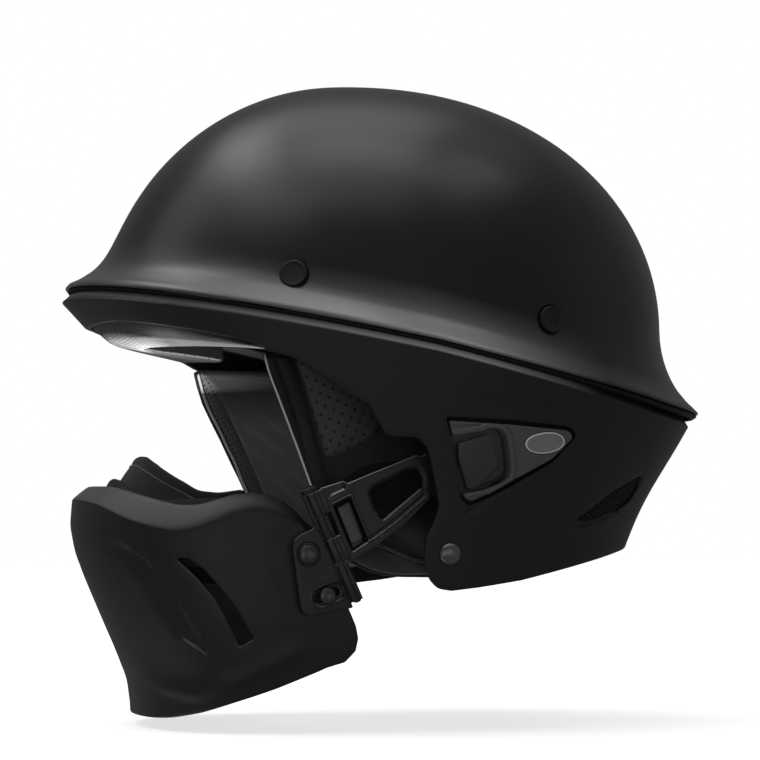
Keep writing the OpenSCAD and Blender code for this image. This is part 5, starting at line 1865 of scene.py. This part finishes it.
def folds(u, v):
    return 0.35 * np.sin(u * 0.9 + 0.15 * v) * np.sin(v * 0.31 + 1.0) + 0.22 * np.sin(u * 0.37 + v * 0.53)


M_GUSSET = leather("gusset_cloth", (0.009, 0.009, 0.0093), None, 0.6, 0.2, grain=420)
M_SPOT = leather("spotted_leather", (0.012, 0.012, 0.0123), holes=1.9, hole_d=0.75, rough=0.6, angle=0.3, dark=0.3)
M_SPOT_IN = leather("spotted_lining", (0.17, 0.17, 0.172), holes=2.3, hole_d=0.85, rough=0.6, angle=0.3, dark=0.15)
M_PANEL = leather("perforated_panel", (0.06, 0.06, 0.061), holes=4.3, hole_d=1.25, rough=0.5, angle=math.radians(24 - 45), dark=0.02, grain=330)
M_CUSH = knit("brushed_knit", (0.30, 0.30, 0.303), 0.9, 0.8, 0.12)
M_WELT = leather("welt_leather", (0.88, 0.88, 0.885), None, 0.42, 0.12, grain=380)
M_HEM = knit("hem_cloth", (0.07, 0.07, 0.072), 1.6, 0.85, 0.3)
M_COARSE = knit("coarse_knit", (0.055, 0.055, 0.056), 2.2, 0.85, 0.6)
# the near-white base is painted light: it stands in for the strong light that the pad's underside catches
M_BROW = leather("brow_pad_painted_light", (0.92, 0.92, 0.925), holes=3.0, hole_d=1.0, rough=0.5, plane="XY", angle=0.4, dark=0.3)



def painted_shade_above(m, z0, z1, tint):
    """Painted shade, darker towards the top: the colour fades to tint between two heights in mm, where the parts above
    shade it.
    """
    nt = m.node_tree
    bs = nt.nodes["Principled BSDF"]
    src = bs.inputs["Base Color"].links[0].from_socket
    t = node(nt, "ShaderNodeTexCoord")
    sep = node(nt, "ShaderNodeSeparateXYZ")
    nt.links.new(t.outputs["Object"], sep.inputs[0])
    mx = node(nt, "ShaderNodeMix", data_type="RGBA")
    mx.inputs["B"].default_value = (*tint, 1)
    nt.links.new(remap(nt, sep.outputs["Z"], 0.0, 1.0, z0 * MM, z1 * MM), mx.inputs["Factor"])
    nt.links.new(src, mx.inputs["A"])
    nt.links.new(mx.outputs["Result"], bs.inputs["Base Color"])


# painted shade: the coarse knit under the perforated panel and the top of the cushion, where the shell and flap above
# shade them
painted_shade_above(M_COARSE, -96, -84, (0.006, 0.006, 0.0062))
painted_shade_above(M_CUSH, -44, -22, (0.05, 0.05, 0.0505))

for side, tag in ((1, "left"), (-1, "right")):
    fn = flap_fn(side)
    rest = REST if side > 0 else [(y, z + 3.4 * math.exp(-(((y - 2) / 16) ** 2)) * (z < -100)) for y, z in REST]
    whole = FRONTS[side] + rest
    # the base that everything is sewn to
    loop = round_corners(whole, [1.5] + [0] * (len(FRONTS[side]) - 2) + [3] * (len(REST) + 1), 4)
    V, F = plate(loop, [], fn, lambda u, v: 4.2 + 0 * u, 7.6, step=3.0, r=1.5, rb=1.5, edge_step=1.8)
    soft_piece(f"cheek_flap_base_{tag}", V, F, M_GUSSET, "helmet", (), sharp=None)
    # outer face, from the front edge back
    fwd = [(p[0] + 1.0, p[1]) for p in FRONTS[side][1:]]
    gus = strip([(p[0] + 1.2, p[1] - (0.6 if i == 0 else 0)) for i, p in enumerate(FRONTS[side][1:])], GUS)
    V, F = panel_mesh(side, gus, 3.4, 1.1, 2.5, 5.5, 1.9, 0.8, 0.8)
    soft_piece(f"cheek_gusset_{tag}", V, F, M_GUSSET, "helmet", ())
    V, F = panel_mesh(side, strip([(p[0] + 0.5, p[1]) for p in GUS], BAND), 2.9, 1.0, 2.2, 5.5, 1.7, 0.8, 0.8)
    soft_piece(f"cheek_band_{tag}", V, F, M_SPOT, "helmet", ())
    V, F = panel_mesh(side, PANEL, 2.4, 2.0, 5.0, 6.0, 2.2, 1.6, 2.0)
    soft_piece(f"cheek_panel_{tag}", V, F, M_PANEL, "helmet", ())
    V, F = panel_mesh(side, LOWER, 3.6, 2.4, 4.0, 6.0, 2.2, 1.5, 2.0, folds)
    soft_piece(f"cheek_lower_{tag}", V, F, M_COARSE, "helmet", ())
    lift = 0.0 if side > 0 else 3.2
    V, F = panel_mesh(side, [(y, z + lift * (z < -108.5)) for y, z in HEM] if lift else HEM, 2.6, 1.6, 2.0, 6.5, 1.5, 1.0, 1.5, lambda u, v: 0.3 * np.sin(u * 1.3) * np.cos(v * 0.2))
    soft_piece(f"cheek_hem_{tag}", V, F, M_HEM, "helmet", ())
    # welts: outer edge, inner edge, and the seam above the hem
    parts = []
    W = WELTS[side]
    if side > 0:
        parts.append(tube([(side * 81.6, p[0] + 0.1, p[1]) for p in W], 0.5, 10))
        parts.append(tube([(side * 77.4, p[0] + 2.4, p[1]) for p in W], 0.7, 8))
    else:
        parts.append(tube([(side * 82.0, p[0] + 1.6, p[1]) for p in FRONTS[side][1:]], 0.55, 8))
        parts.append(tube([(side * 76.9, p[0], p[1]) for p in W], 0.85, 10))
    V, F = join_parts(parts)
    soft_piece(f"cheek_welts_{tag}", V, F, M_WELT, "helmet", ())
    V, F = tube([(side * 82.2, y, z) for y, z in ((-33.6, -100.2), (-17.6, -102.4), (-8, -106.3), (0.8, -109.0), (9.4, -110.2))], 0.9, 8)
    soft_piece(f"cheek_seam_{tag}", V, F, M_HEM, "helmet", ())
    # inner face: a dotted band between the welt and the cushion, then the cushion
    band = strip([(p[0] + (3.2 if side > 0 else 0.9), p[1] - (0.5 if i == 0 else 0)) for i, p in enumerate(W)], [(p[0] + 2.0, p[1]) for p in CUSHION[side]])
    loop = round_corners(band, 0.6, 4)
    fill = flat_fill(loop, [], 1.8, rings_for(0.7), None, None, 1.1)
    P_, F_, D_, rim_ = fill
    V, F = shell_from(fill, fn, 6.0, lambda u, v: 7.6 + 0.9 * (1 - np.exp(-D_ / 2.0)), 0.3, 0.7)
    soft_piece(f"cheek_inner_band_{tag}", V, F, M_SPOT_IN, "helmet", ())
    outline = CUSHION[side] + CUSHION_REST
    loop = round_corners(outline, [2] + [0] * (len(CUSHION[side]) - 2) + [5] * (len(CUSHION_REST) + 1), 5)
    fill = flat_fill(loop, [], 2.6, [0.5, 1.4, 2.7, 4.0], None, None, 1.9)
    P_, F_, D_, rim_ = fill

    def face(u, v, D_=D_):
        return 9.0 + 0.5 * (1 - np.exp(-D_ / 5.0))

    V, F = shell_from(fill, fn, 7.0, face, 0.6, 2.4)
    n_ = len(P_)
    sewn = np.concatenate([np.ones(n_), np.clip(1 - (D_ - 0.3) / 0.8, 0, 1)])
    V = puffed(V, F, sewn, cap=1.3)
    V[:, 0] = np.where(np.abs(V[:, 0]) < 73.2, side * 73.2, V[:, 0])
    soft_piece(f"cheek_cushion_{tag}", V, F, M_CUSH, "helmet", (f"cheek_flap_{tag}",))

# ---------------------------------------------------------------------------
# bowl linings
# ---------------------------------------------------------------------------
def bowl_pt(a, t, o, lift, g):
    """Point on a dome lining: t 0 at its lower edge, 1 at the crown."""
    z0 = rim_z(a) + lift
    w = np.where(z0 < 0, 0.0, 0.0)
    z = z0 + (CROWN_H - o - z0) * t + w
    return dome_pt(a, z, o, g)


def bowl_mesh(outer, inner, n=144, rows=34, edge=((0.35, 0.0), (0.12, 0.3), (0.0, 0.75))):
    """A lining between two surfaces fn(a, t). The lower edge is rounded through the inset steps."""
    A = -180 + 360 * np.arange(n) / n
    ts = 1 - np.cos(np.linspace(0, 1, rows) * math.pi / 2)
    ts = np.concatenate([[0.0], np.linspace(0.006, 0.985, rows) ** 1.0])
    rings = []
    for t in ts[::-1]:
        rings.append(outer(A, np.full(n, t)))
    po, pi_ = outer(A, np.full(n, 0.0)), inner(A, np.full(n, 0.0))
    for k in (0.08, 0.25, 0.5, 0.75, 0.92):
        q = po + (pi_ - po) * k
        q[:, 2] -= 0.9 * math.sin(k * math.pi)
        rings.append(q)
    for t in ts:
        rings.append(inner(A, np.full(n, t)))
    V = np.concatenate(rings)
    F = []
    m = len(rings)
    for k in range(m - 1):
        for i in range(n):
            j = (i + 1) % n
            F.append((k * n + i, k * n + j, (k + 1) * n + j, (k + 1) * n + i))
    V = np.vstack([V, [rings[0].mean(0) + [0, 0, 0.25]], [rings[-1].mean(0) + [0, 0, 0.25]]])
    top, bot = len(V) - 2, len(V) - 1
    for i in range(n):
        j = (i + 1) % n
        F.append((top, j, i))
        F.append((bot, (m - 1) * n + i, (m - 1) * n + j))
    return V, F


V, F = bowl_mesh(lambda a, t: bowl_pt(a, t, DOME_WALL + 0.7, 1.0, 0.69), lambda a, t: bowl_pt(a, t, 23.9, 1.0, 0.0), 120, 26)
ob = new_object("foam_shell", V, F, M_FOAM, sharp=50)
piece(ob, "helmet", ["eps_liner"])


def quilt(a, t):
    """How far the crown lining is drawn in at its seams, in mm."""
    p = bowl_pt(a, t, 29.0, -1.0, 0.0)
    x, y = p[:, 0], p[:, 1]
    g = np.abs(np.abs(x) - 27.0) + np.where(t < 0.30, 50, 0)
    h = np.abs(t - 0.30) * 120
    k = np.where((t < 0.30), np.abs(((a + 180 + 12) % 36) - 18 + 0.0), 99) * 1.35
    d = np.minimum(np.minimum(g, h), np.where(t < 0.30, np.abs(18 - k / 1.35) * 1.35, 99))
    r2 = np.where((np.abs(x) < 26) & (t > 0.32), np.abs(((y + 200) % 24) - 12), 99)
    d = np.minimum(d, np.where(r2 < 90, 12 - r2, 99))
    return 2.3 * np.exp(-((np.abs(d) / 2.1) ** 1.3))


V, F = bowl_mesh(lambda a, t: bowl_pt(a, t, 24.5, -1.0, 0.0), lambda a, t: bowl_pt(a, t, 29.3 - quilt(a, t), -1.0, 0.0), 200, 56)
soft_piece("crown_lining", V, F, M_KNIT, "helmet", ["crown_liner"], subdiv=False)


def band_loft(angles, sec_fn, n_out=28, draw=(0.45, 0.75, 0.92)):
    """A band round the helmet: sec_fn(a) gives a closed section of points; the ends are drawn in."""
    loops = []
    for a in angles:
        S = sec_fn(a)
        S = catmull(np.vstack([S, S[:1]]), n_out + 1)[:-1]
        loops.append(S)
    for k, f in enumerate(draw):
        for i in (k, -1 - k):
            c = loops[i].mean(0)
            loops[i] = c + (loops[i] - c) * f
    return loft(loops)


def roll_sec(a):
    a = float(a)
    return arr([skirt_at(a, -99.6, 18.0), skirt_at(a, -94, 17.9), skirt_at(a, -80, 18.6), skirt_at(a, -66, 20.2), skirt_at(a, -61.4, 23.6), skirt_at(a, -66, 27.4), skirt_at(a, -80, 29.4), skirt_at(a, -94, 25.8), skirt_at(a, -99.4, 21.4)])


V, F = band_loft(np.linspace(45.2, 134.8, 64), roll_sec)
sewn_ = np.zeros(len(V))
for k in range(64):
    i0 = k * 28
    sewn_[i0 : i0 + 28] = np.where(np.arange(28) < 8, 1.0, 0.0)
    if k in (0, 1, 62, 63, 21, 42):
        sewn_[i0 : i0 + 28] = 1.0
for k in (21, 42):
    c = V[k * 28 : k * 28 + 28].mean(0)
    V[k * 28 : k * 28 + 28] = c + (V[k * 28 : k * 28 + 28] - c) * 0.9
V = puffed(V, F, sewn_, cap=1.2)
soft_piece("nape_roll", V, F, M_KNIT, "helmet", ["neck_roll"])


def foam_sec(a):
    a = float(a)
    zt, zb = float(rim_z(arr(a))) - 8.4, -100.4 + 0.06 * abs((a - 42) / 96 * 22 - 11)
    rows = []
    for z, o in ((zb + 0.8, 4.6), (zb + 4, 4.5), ((zt + zb) / 2, 4.5), (zt - 3, 4.5), (zt - 0.4, 5.2), (zt, 8), (zt, 14), (zt - 0.6, 17), (zt - 4, 17.8), ((zt + zb) / 2, 16.9), (zb + 4, 16), (zb + 0.6, 15), (zb, 12), (zb, 8)):
        rows.append(skirt_at(a, z, o))
    return arr(rows)


V, F = band_loft(np.linspace(42.3, 137.7, 56), foam_sec, 36, (0.94, 0.98, 1.0))
ob = new_object("skirt_padding_foam", V, F, M_FOAM, sharp=60)
piece(ob, "helmet", ["skirt_foam"])


def brow_low(a):
    """Height of the pad's lowest line."""
    s = -math.sin(math.radians(a))
    return 2.6 * s - 13.5 - 1.8 * ((1 - s) / 0.4) ** 2


def brow_sec(a):
    a = float(a)
    zb = 1 - 0.24 * (140 + 150 * math.sin(math.radians(a))) - 0.6
    zl = brow_low(a)
    q = slice_pt(arr(a), rim_z(arr(a)), 29.6 - 9.5 * (-math.sin(math.radians(a))) ** 8)
    inn = arr([q[0], q[1], 0.0])
    o = skirt_at(a, zb, SKIRT_WALL + 0.7) * [1, 1, 0]
    m = skirt_at(a, zb, 13.2) * [1, 1, 0]
    up = arr([0, 0, 1.0])
    # from the shell's edge the pad swells down and in, then turns up inside
    pts = [o + up * (zb + 0.4)]
    for k in (0.25, 0.55, 0.85):
        p = o + (m - o) * k
        pts.append(p + up * (zb + (zl + (zb - zl) / 3 - zb) * k - 0.35 * math.sin(math.pi * k)))
    pts.append(m + up * (zl + (zb - zl) / 3 - 0.1))
    for k in (0.3, 0.6, 0.88):
        p = m + (inn - m) * k
        pts.append(p + up * (zl + (zb - zl) / 3 * (1 - k) ** 1.3 + 0.1))
    pts += [inn + up * (zl + 0.9), inn + up * (zl + 2.6), inn + up * ((zb + zl) / 2 + 4), inn + up * (zb + 8.6)]
    o2 = skirt_at(a, zb + 7.2, SKIRT_WALL + 0.7)
    top = inn + up * (zb + 9.6)
    pts += [top + (o2 - top) * 0.06, top + (o2 - top) * 0.35, top + (o2 - top) * 0.7, o2 + up * 0.3, o2 - up * 1.2, (o2 + o + up * zb) / 2]
    return arr(pts)


def dots_and_painted_light(m):
    """Painted light and shade: the pad is painted dark where it leaves the shell and pale where it turns under, for the
    light its underside catches; rows of holes run across it.
    """
    nt = m.node_tree
    bs = nt.nodes["Principled BSDF"]
    link = bs.inputs["Base Color"].links[0]
    src = link.from_socket
    sep = node(nt, "ShaderNodeSeparateXYZ")
    t = node(nt, "ShaderNodeTexCoord")
    nt.links.new(t.outputs["Object"], sep.inputs[0])
    h = math_node(nt, "ADD", sep.outputs["Z"], math_node(nt, "ADD", math_node(nt, "MULTIPLY", sep.outputs["Y"], 0.257), 0.0332))
    k = remap(nt, math_node(nt, "ADD", h, math_node(nt, "MULTIPLY", noise(nt, t.outputs["Object"], 300, 3), 0.0015)), 0.0, 1.0, -0.0062, -0.0034)
    mx = node(nt, "ShaderNodeMix", data_type="RGBA")
    mx.inputs["B"].default_value = (0.012, 0.012, 0.0122, 1)
    # rows of fine holes that lean as they run, and painted shade on the inner wall
    lean = math_node(nt, "SINE", math_node(nt, "MULTIPLY", math_node(nt, "SUBTRACT", sep.outputs["Y"], math_node(nt, "MULTIPLY", sep.outputs["Z"], 0.6)), 2 * math.pi / 0.0021))
    runs = math_node(nt, "SINE", math_node(nt, "MULTIPLY", math_node(nt, "ADD", math_node(nt, "MULTIPLY", sep.outputs["Z"], 1.2), math_node(nt, "MULTIPLY", sep.outputs["X"], 0.6)), 2 * math.pi / 0.0015))
    dots = remap(nt, math_node(nt, "ADD", lean, math_node(nt, "MULTIPLY", runs, 0.7)), 0.0, 0.8, 0.2, 1.1)
    nrm = node(nt, "ShaderNodeSeparateXYZ")
    nt.links.new(t.outputs["Normal"], nrm.inputs[0])
    out = math_node(nt, "ADD", math_node(nt, "MULTIPLY", nrm.outputs["X"], sep.outputs["X"]), math_node(nt, "MULTIPLY", nrm.outputs["Y"], sep.outputs["Y"]))
    wall_ = remap(nt, out, 1.0, 0.0, -0.055, -0.03)
    k = math_node(nt, "MAXIMUM", math_node(nt, "MAXIMUM", k, dots), wall_)
    nt.links.new(k, mx.inputs["Factor"])
    nt.links.new(src, mx.inputs["A"])
    nt.links.new(mx.outputs["Result"], bs.inputs["Base Color"])
    bs.inputs["Sheen Weight"].default_value = 0.0
    bs.inputs["Sheen Roughness"].default_value = 0.4


dots_and_painted_light(M_BROW)
V, F = band_loft(np.linspace(-142.6, -37.4, 96), brow_sec, 52, (0.86, 0.96, 1.0))
soft_piece("brow_lining_pad", V, F, M_BROW, "helmet", ["brow_lining"])
path = [brow_sec(a)[8] + arr([0, 0, 0.5]) for a in np.linspace(-140, -40, 50)]
V, F = tube(path, 0.6, 8)
soft_piece("brow_lining_welt", V, F, M_SPOT_IN, "helmet", ())

# ---------------------------------------------------------------------------
# muzzle padding on the muzzle's own chart
# ---------------------------------------------------------------------------
LEAN = [(-125, 0), (-108, 0.6), (-96, 3), (-84, 7), (-72, 12), (-58, 19)]
LINER_TOP = [(0, -60.5), (0.1, -61), (0.16, -62.5), (0.23, -64.5), (0.33, -68.5), (0.43, -73), (0.5, -77), (0.58, -78), (0.66, -76.5)]
SEAL_TOP = [(0, -71), (0.1, -72), (0.25, -78), (0.4, -81.5), (0.6, -80), (0.72, -82)]


def mz_in(u, v, o):
    x, y = mz_xy(np.asarray(u) / KT, v, o + lut(LEAN, v))
    return np.stack([x, y, arr(v) + 0 * x], -1)


def inner_outline(top, zb, t1, inset_=0.15):
    ts = np.linspace(0, t1 - 0.002, 48)
    up = [(t * KT, float(soft_lut(top, arr(t), 0.02)) - inset_) for t in ts]
    half = [(t1 * KT - 0.3, zb + 0.3)] + up[::-1]
    pts = half + [(-x, y) for x, y in up[1:]] + [(-(t1 * KT - 0.3), zb + 0.3)]
    return round_corners(pts, [2.5, 2.5] + [0] * (len(pts) - 4) + [2.5, 2.5], 4)


def hem_line(top, drop, t1):
    ts = np.linspace(-t1 + 0.01, t1 - 0.01, 90)
    return [(t * KT, float(soft_lut(top, arr(abs(t)), 0.02)) - drop) for t in ts]


loop = inner_outline(LINER_TOP, -120, 0.66)
hem = hem_line(LINER_TOP, 4.4, 0.66)
low = [(x, -104.0) for x in np.linspace(-0.62 * KT, 0.62 * KT, 60)]
fill = flat_fill(loop, [], 2.4, [0.5, 1.3, 2.4], None, along(hem, 1.4, (-1.2, -0.5, 0.0, 0.5, 1.2)) + along(low, 2.0, (-1.2, 0.0, 1.2)), 1.7)
P_, F_, D_, rim_ = fill
dh = seg_dist(P_, open_segs(hem))
dl = seg_dist(P_, open_segs(low))
seam_d = 1.0 * np.exp(-((dh / 1.1) ** 2)) + 0.8 * np.exp(-((dl / 1.6) ** 2))
cols = 0.5 * np.exp(-((np.abs(((P_[:, 0] + 400) % 26) - 13) / 1.5) ** 2)) * (P_[:, 1] < -84)
V, F = shell_from(fill, mz_in, lambda u, v: 9.5 - 0.35 * (1 - np.exp(-D_ / 4)) + seam_d + 0.5 * cols, lambda u, v: 12.7 + 0.35 * (1 - np.exp(-D_ / 4)) - seam_d - cols, 1.3, 1.3)
n_ = len(P_)
sw = np.maximum(np.exp(-((dh / 0.9) ** 2)), np.exp(-((dl / 1.2) ** 2)))
sw = np.where(sw > 0.5, 1.0, 0.0)
V = puffed(V, F, np.concatenate([sw, sw]), cap=0.7)
soft_piece("muzzle_padding", V, F, M_KNIT, "muzzle", ["muzzle_liner"])
parts = [tube([mz_in(arr(x), arr(y), 9.55) for x, y in hem], 0.42, 7)]
V, F = join_parts(parts)
soft_piece("muzzle_padding_welt", V, F, M_HEM, "muzzle", ())

loop = inner_outline(SEAL_TOP, -112, 0.70)
V, F = plate(loop, [], mz_in, lambda u, v: 4.15 + 0 * u, 6.25, step=3.2, r=0.75, rb=0.75, edge_step=1.6)
ob = new_object("nose_seal_moulding", V, F, M_SEAL, sharp=45)
piece(ob, "muzzle", ["nose_seal"])

# ---------------------------------------------------------------------------
# chin strap and its rings
# ---------------------------------------------------------------------------
STRAP = [(72.2, -19, -99, 50), (68, -20, -103.4, 60), (60, -22.5, -107, 70), (48, -26, -109.6, 80), (34, -29, -111, 86), (20, -31, -111.6, 90), (8, -31.5, -111.8, 90)]


def strap_mesh(side):
    C = catmull([p[:3] for p in STRAP], 60)
    A = np.interp(np.linspace(0, 1, 60), np.linspace(0, 1, len(STRAP)), [p[3] for p in STRAP])
    prof = []
    for y, t in ((-10.9, 0.0), (-10.7, 0.55), (-10.0, 0.95), (-9.4, 1.1), (-9.0, 0.98), (-8.4, 1.02), (0, 1.05), (8.4, 1.02), (9.0, 0.98), (9.4, 1.1), (10.0, 0.95), (10.7, 0.55), (10.9, 0.0)):
        prof.append((t, y))
    prof += [(-t, y) for t, y in prof[-2:0:-1]]
    loops = []
    for p, a in zip(C, A):
        c, s = math.cos(math.radians(a)), math.sin(math.radians(a))
        loops.append([(side * (p[0] + t * c), p[1] + y, p[2] - t * s) for t, y in prof])
    return loft(loops)


def stitches(side):
    C = catmull([p[:3] for p in STRAP], 60)
    A = np.interp(np.linspace(0, 1, 60), np.linspace(0, 1, len(STRAP)), [p[3] for p in STRAP])
    parts = []
    for y in (-7.6, 7.6):
        for k in range(1, 58, 2):
            for sg in (1, -1):
                q = []
                for j in (k, k + 0.5, k + 1):
                    i = int(j)
                    f = j - i
                    p = C[i] * (1 - f) + C[min(i + 1, 59)] * f
                    a = math.radians(A[i])
                    h = 1.05 + (0.22 if j == k + 0.5 else 0.0)
                    q.append((side * (p[0] + sg * h * math.cos(a)), p[1] + y, p[2] - sg * h * math.sin(a)))
                parts.append(tube(q, 0.22, 5, step=0.6, taper=False))
    return parts


for side, tag in ((1, "left"), (-1, "right")):
    V, F = strap_mesh(side)
    soft_piece(f"chin_strap_{tag}", V, F, M_WEB, "helmet", [f"strap_{tag}"], sharp=40, subdiv=False)
    V, F = join_parts(stitches(side))
    soft_piece(f"strap_thread_{tag}", V, F, M_HEM, "helmet", (), subdiv=False)

parts = []
for k in (0, 1):
    cx, cy, cz = -6.5 + k * 13, -31.5, -114.6
    path = [(cx + x, cy + y, cz) for x, y in rect_ring(4.2, 27.4, 2.0, 7)]

    def wire(i, t):
        return [(1.0 * math.cos(a), 1.25 * math.sin(a)) for a in np.linspace(0, 2 * math.pi, 14, endpoint=False)]

    parts.append(sweep(path, wire, closed=True, ups=[(0, 0, 1)] * len(path)))
V, F = join_parts(parts)
ob = new_object("strap_ring_pair", V, F, M_RING, sharp=60)
piece(ob, "helmet", ["d_rings"])

# ---------------------------------------------------------------------------
# every construction node that still shows gets its own finish
# ---------------------------------------------------------------------------
FINISH = {
    "outer_shell": M_DOME, "rim_trim": M_TRIM, "lower_shell": M_SKIRT, "snap_plugs": M_PLUG, "eps_liner": M_FOAM, "skirt_foam": M_FOAM,
    "crown_liner": M_KNIT, "brow_lining": M_PERF, "cheek_flap_left": M_FLAP, "cheek_flap_right": M_FLAP, "neck_roll": M_KNIT,
    "bezel_left": M_BEZEL, "bezel_right": M_BEZEL, "badge_left": M_BADGE, "badge_right": M_BADGE, "receiver_left": M_RECV, "receiver_right": M_RECV,
    "receiver_magnets": M_MAGNET, "release_tab_left": M_LATCH, "release_tab_right": M_LATCH, "vent_mesh_left": M_MESH, "vent_mesh_right": M_MESH,
    "strap_rivets": M_RIVET, "strap_left": M_WEB, "strap_right": M_WEB, "d_rings": M_RING, "arm_left": M_ARM, "arm_right": M_ARM,
    "arm_magnets_left": M_MAGNET, "arm_magnets_right": M_MAGNET, "arm_tab_left": M_BRACKET, "arm_tab_right": M_BRACKET, "bracket_left": M_BRACKET,
    "bracket_right": M_BRACKET, "hinge_pin_left": M_SCREW, "hinge_pin_right": M_SCREW, "muzzle_shell": M_MUZZLE, "nose_seal": M_SEAL,
    "muzzle_liner": M_KNIT, "bracket_screws_left": M_SCREW, "bracket_screws_right": M_SCREW,
}
for name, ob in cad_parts.items():
    ob.data.materials.clear()
    ob.data.materials.append(FINISH[name])

bpy.context.view_layer.update()
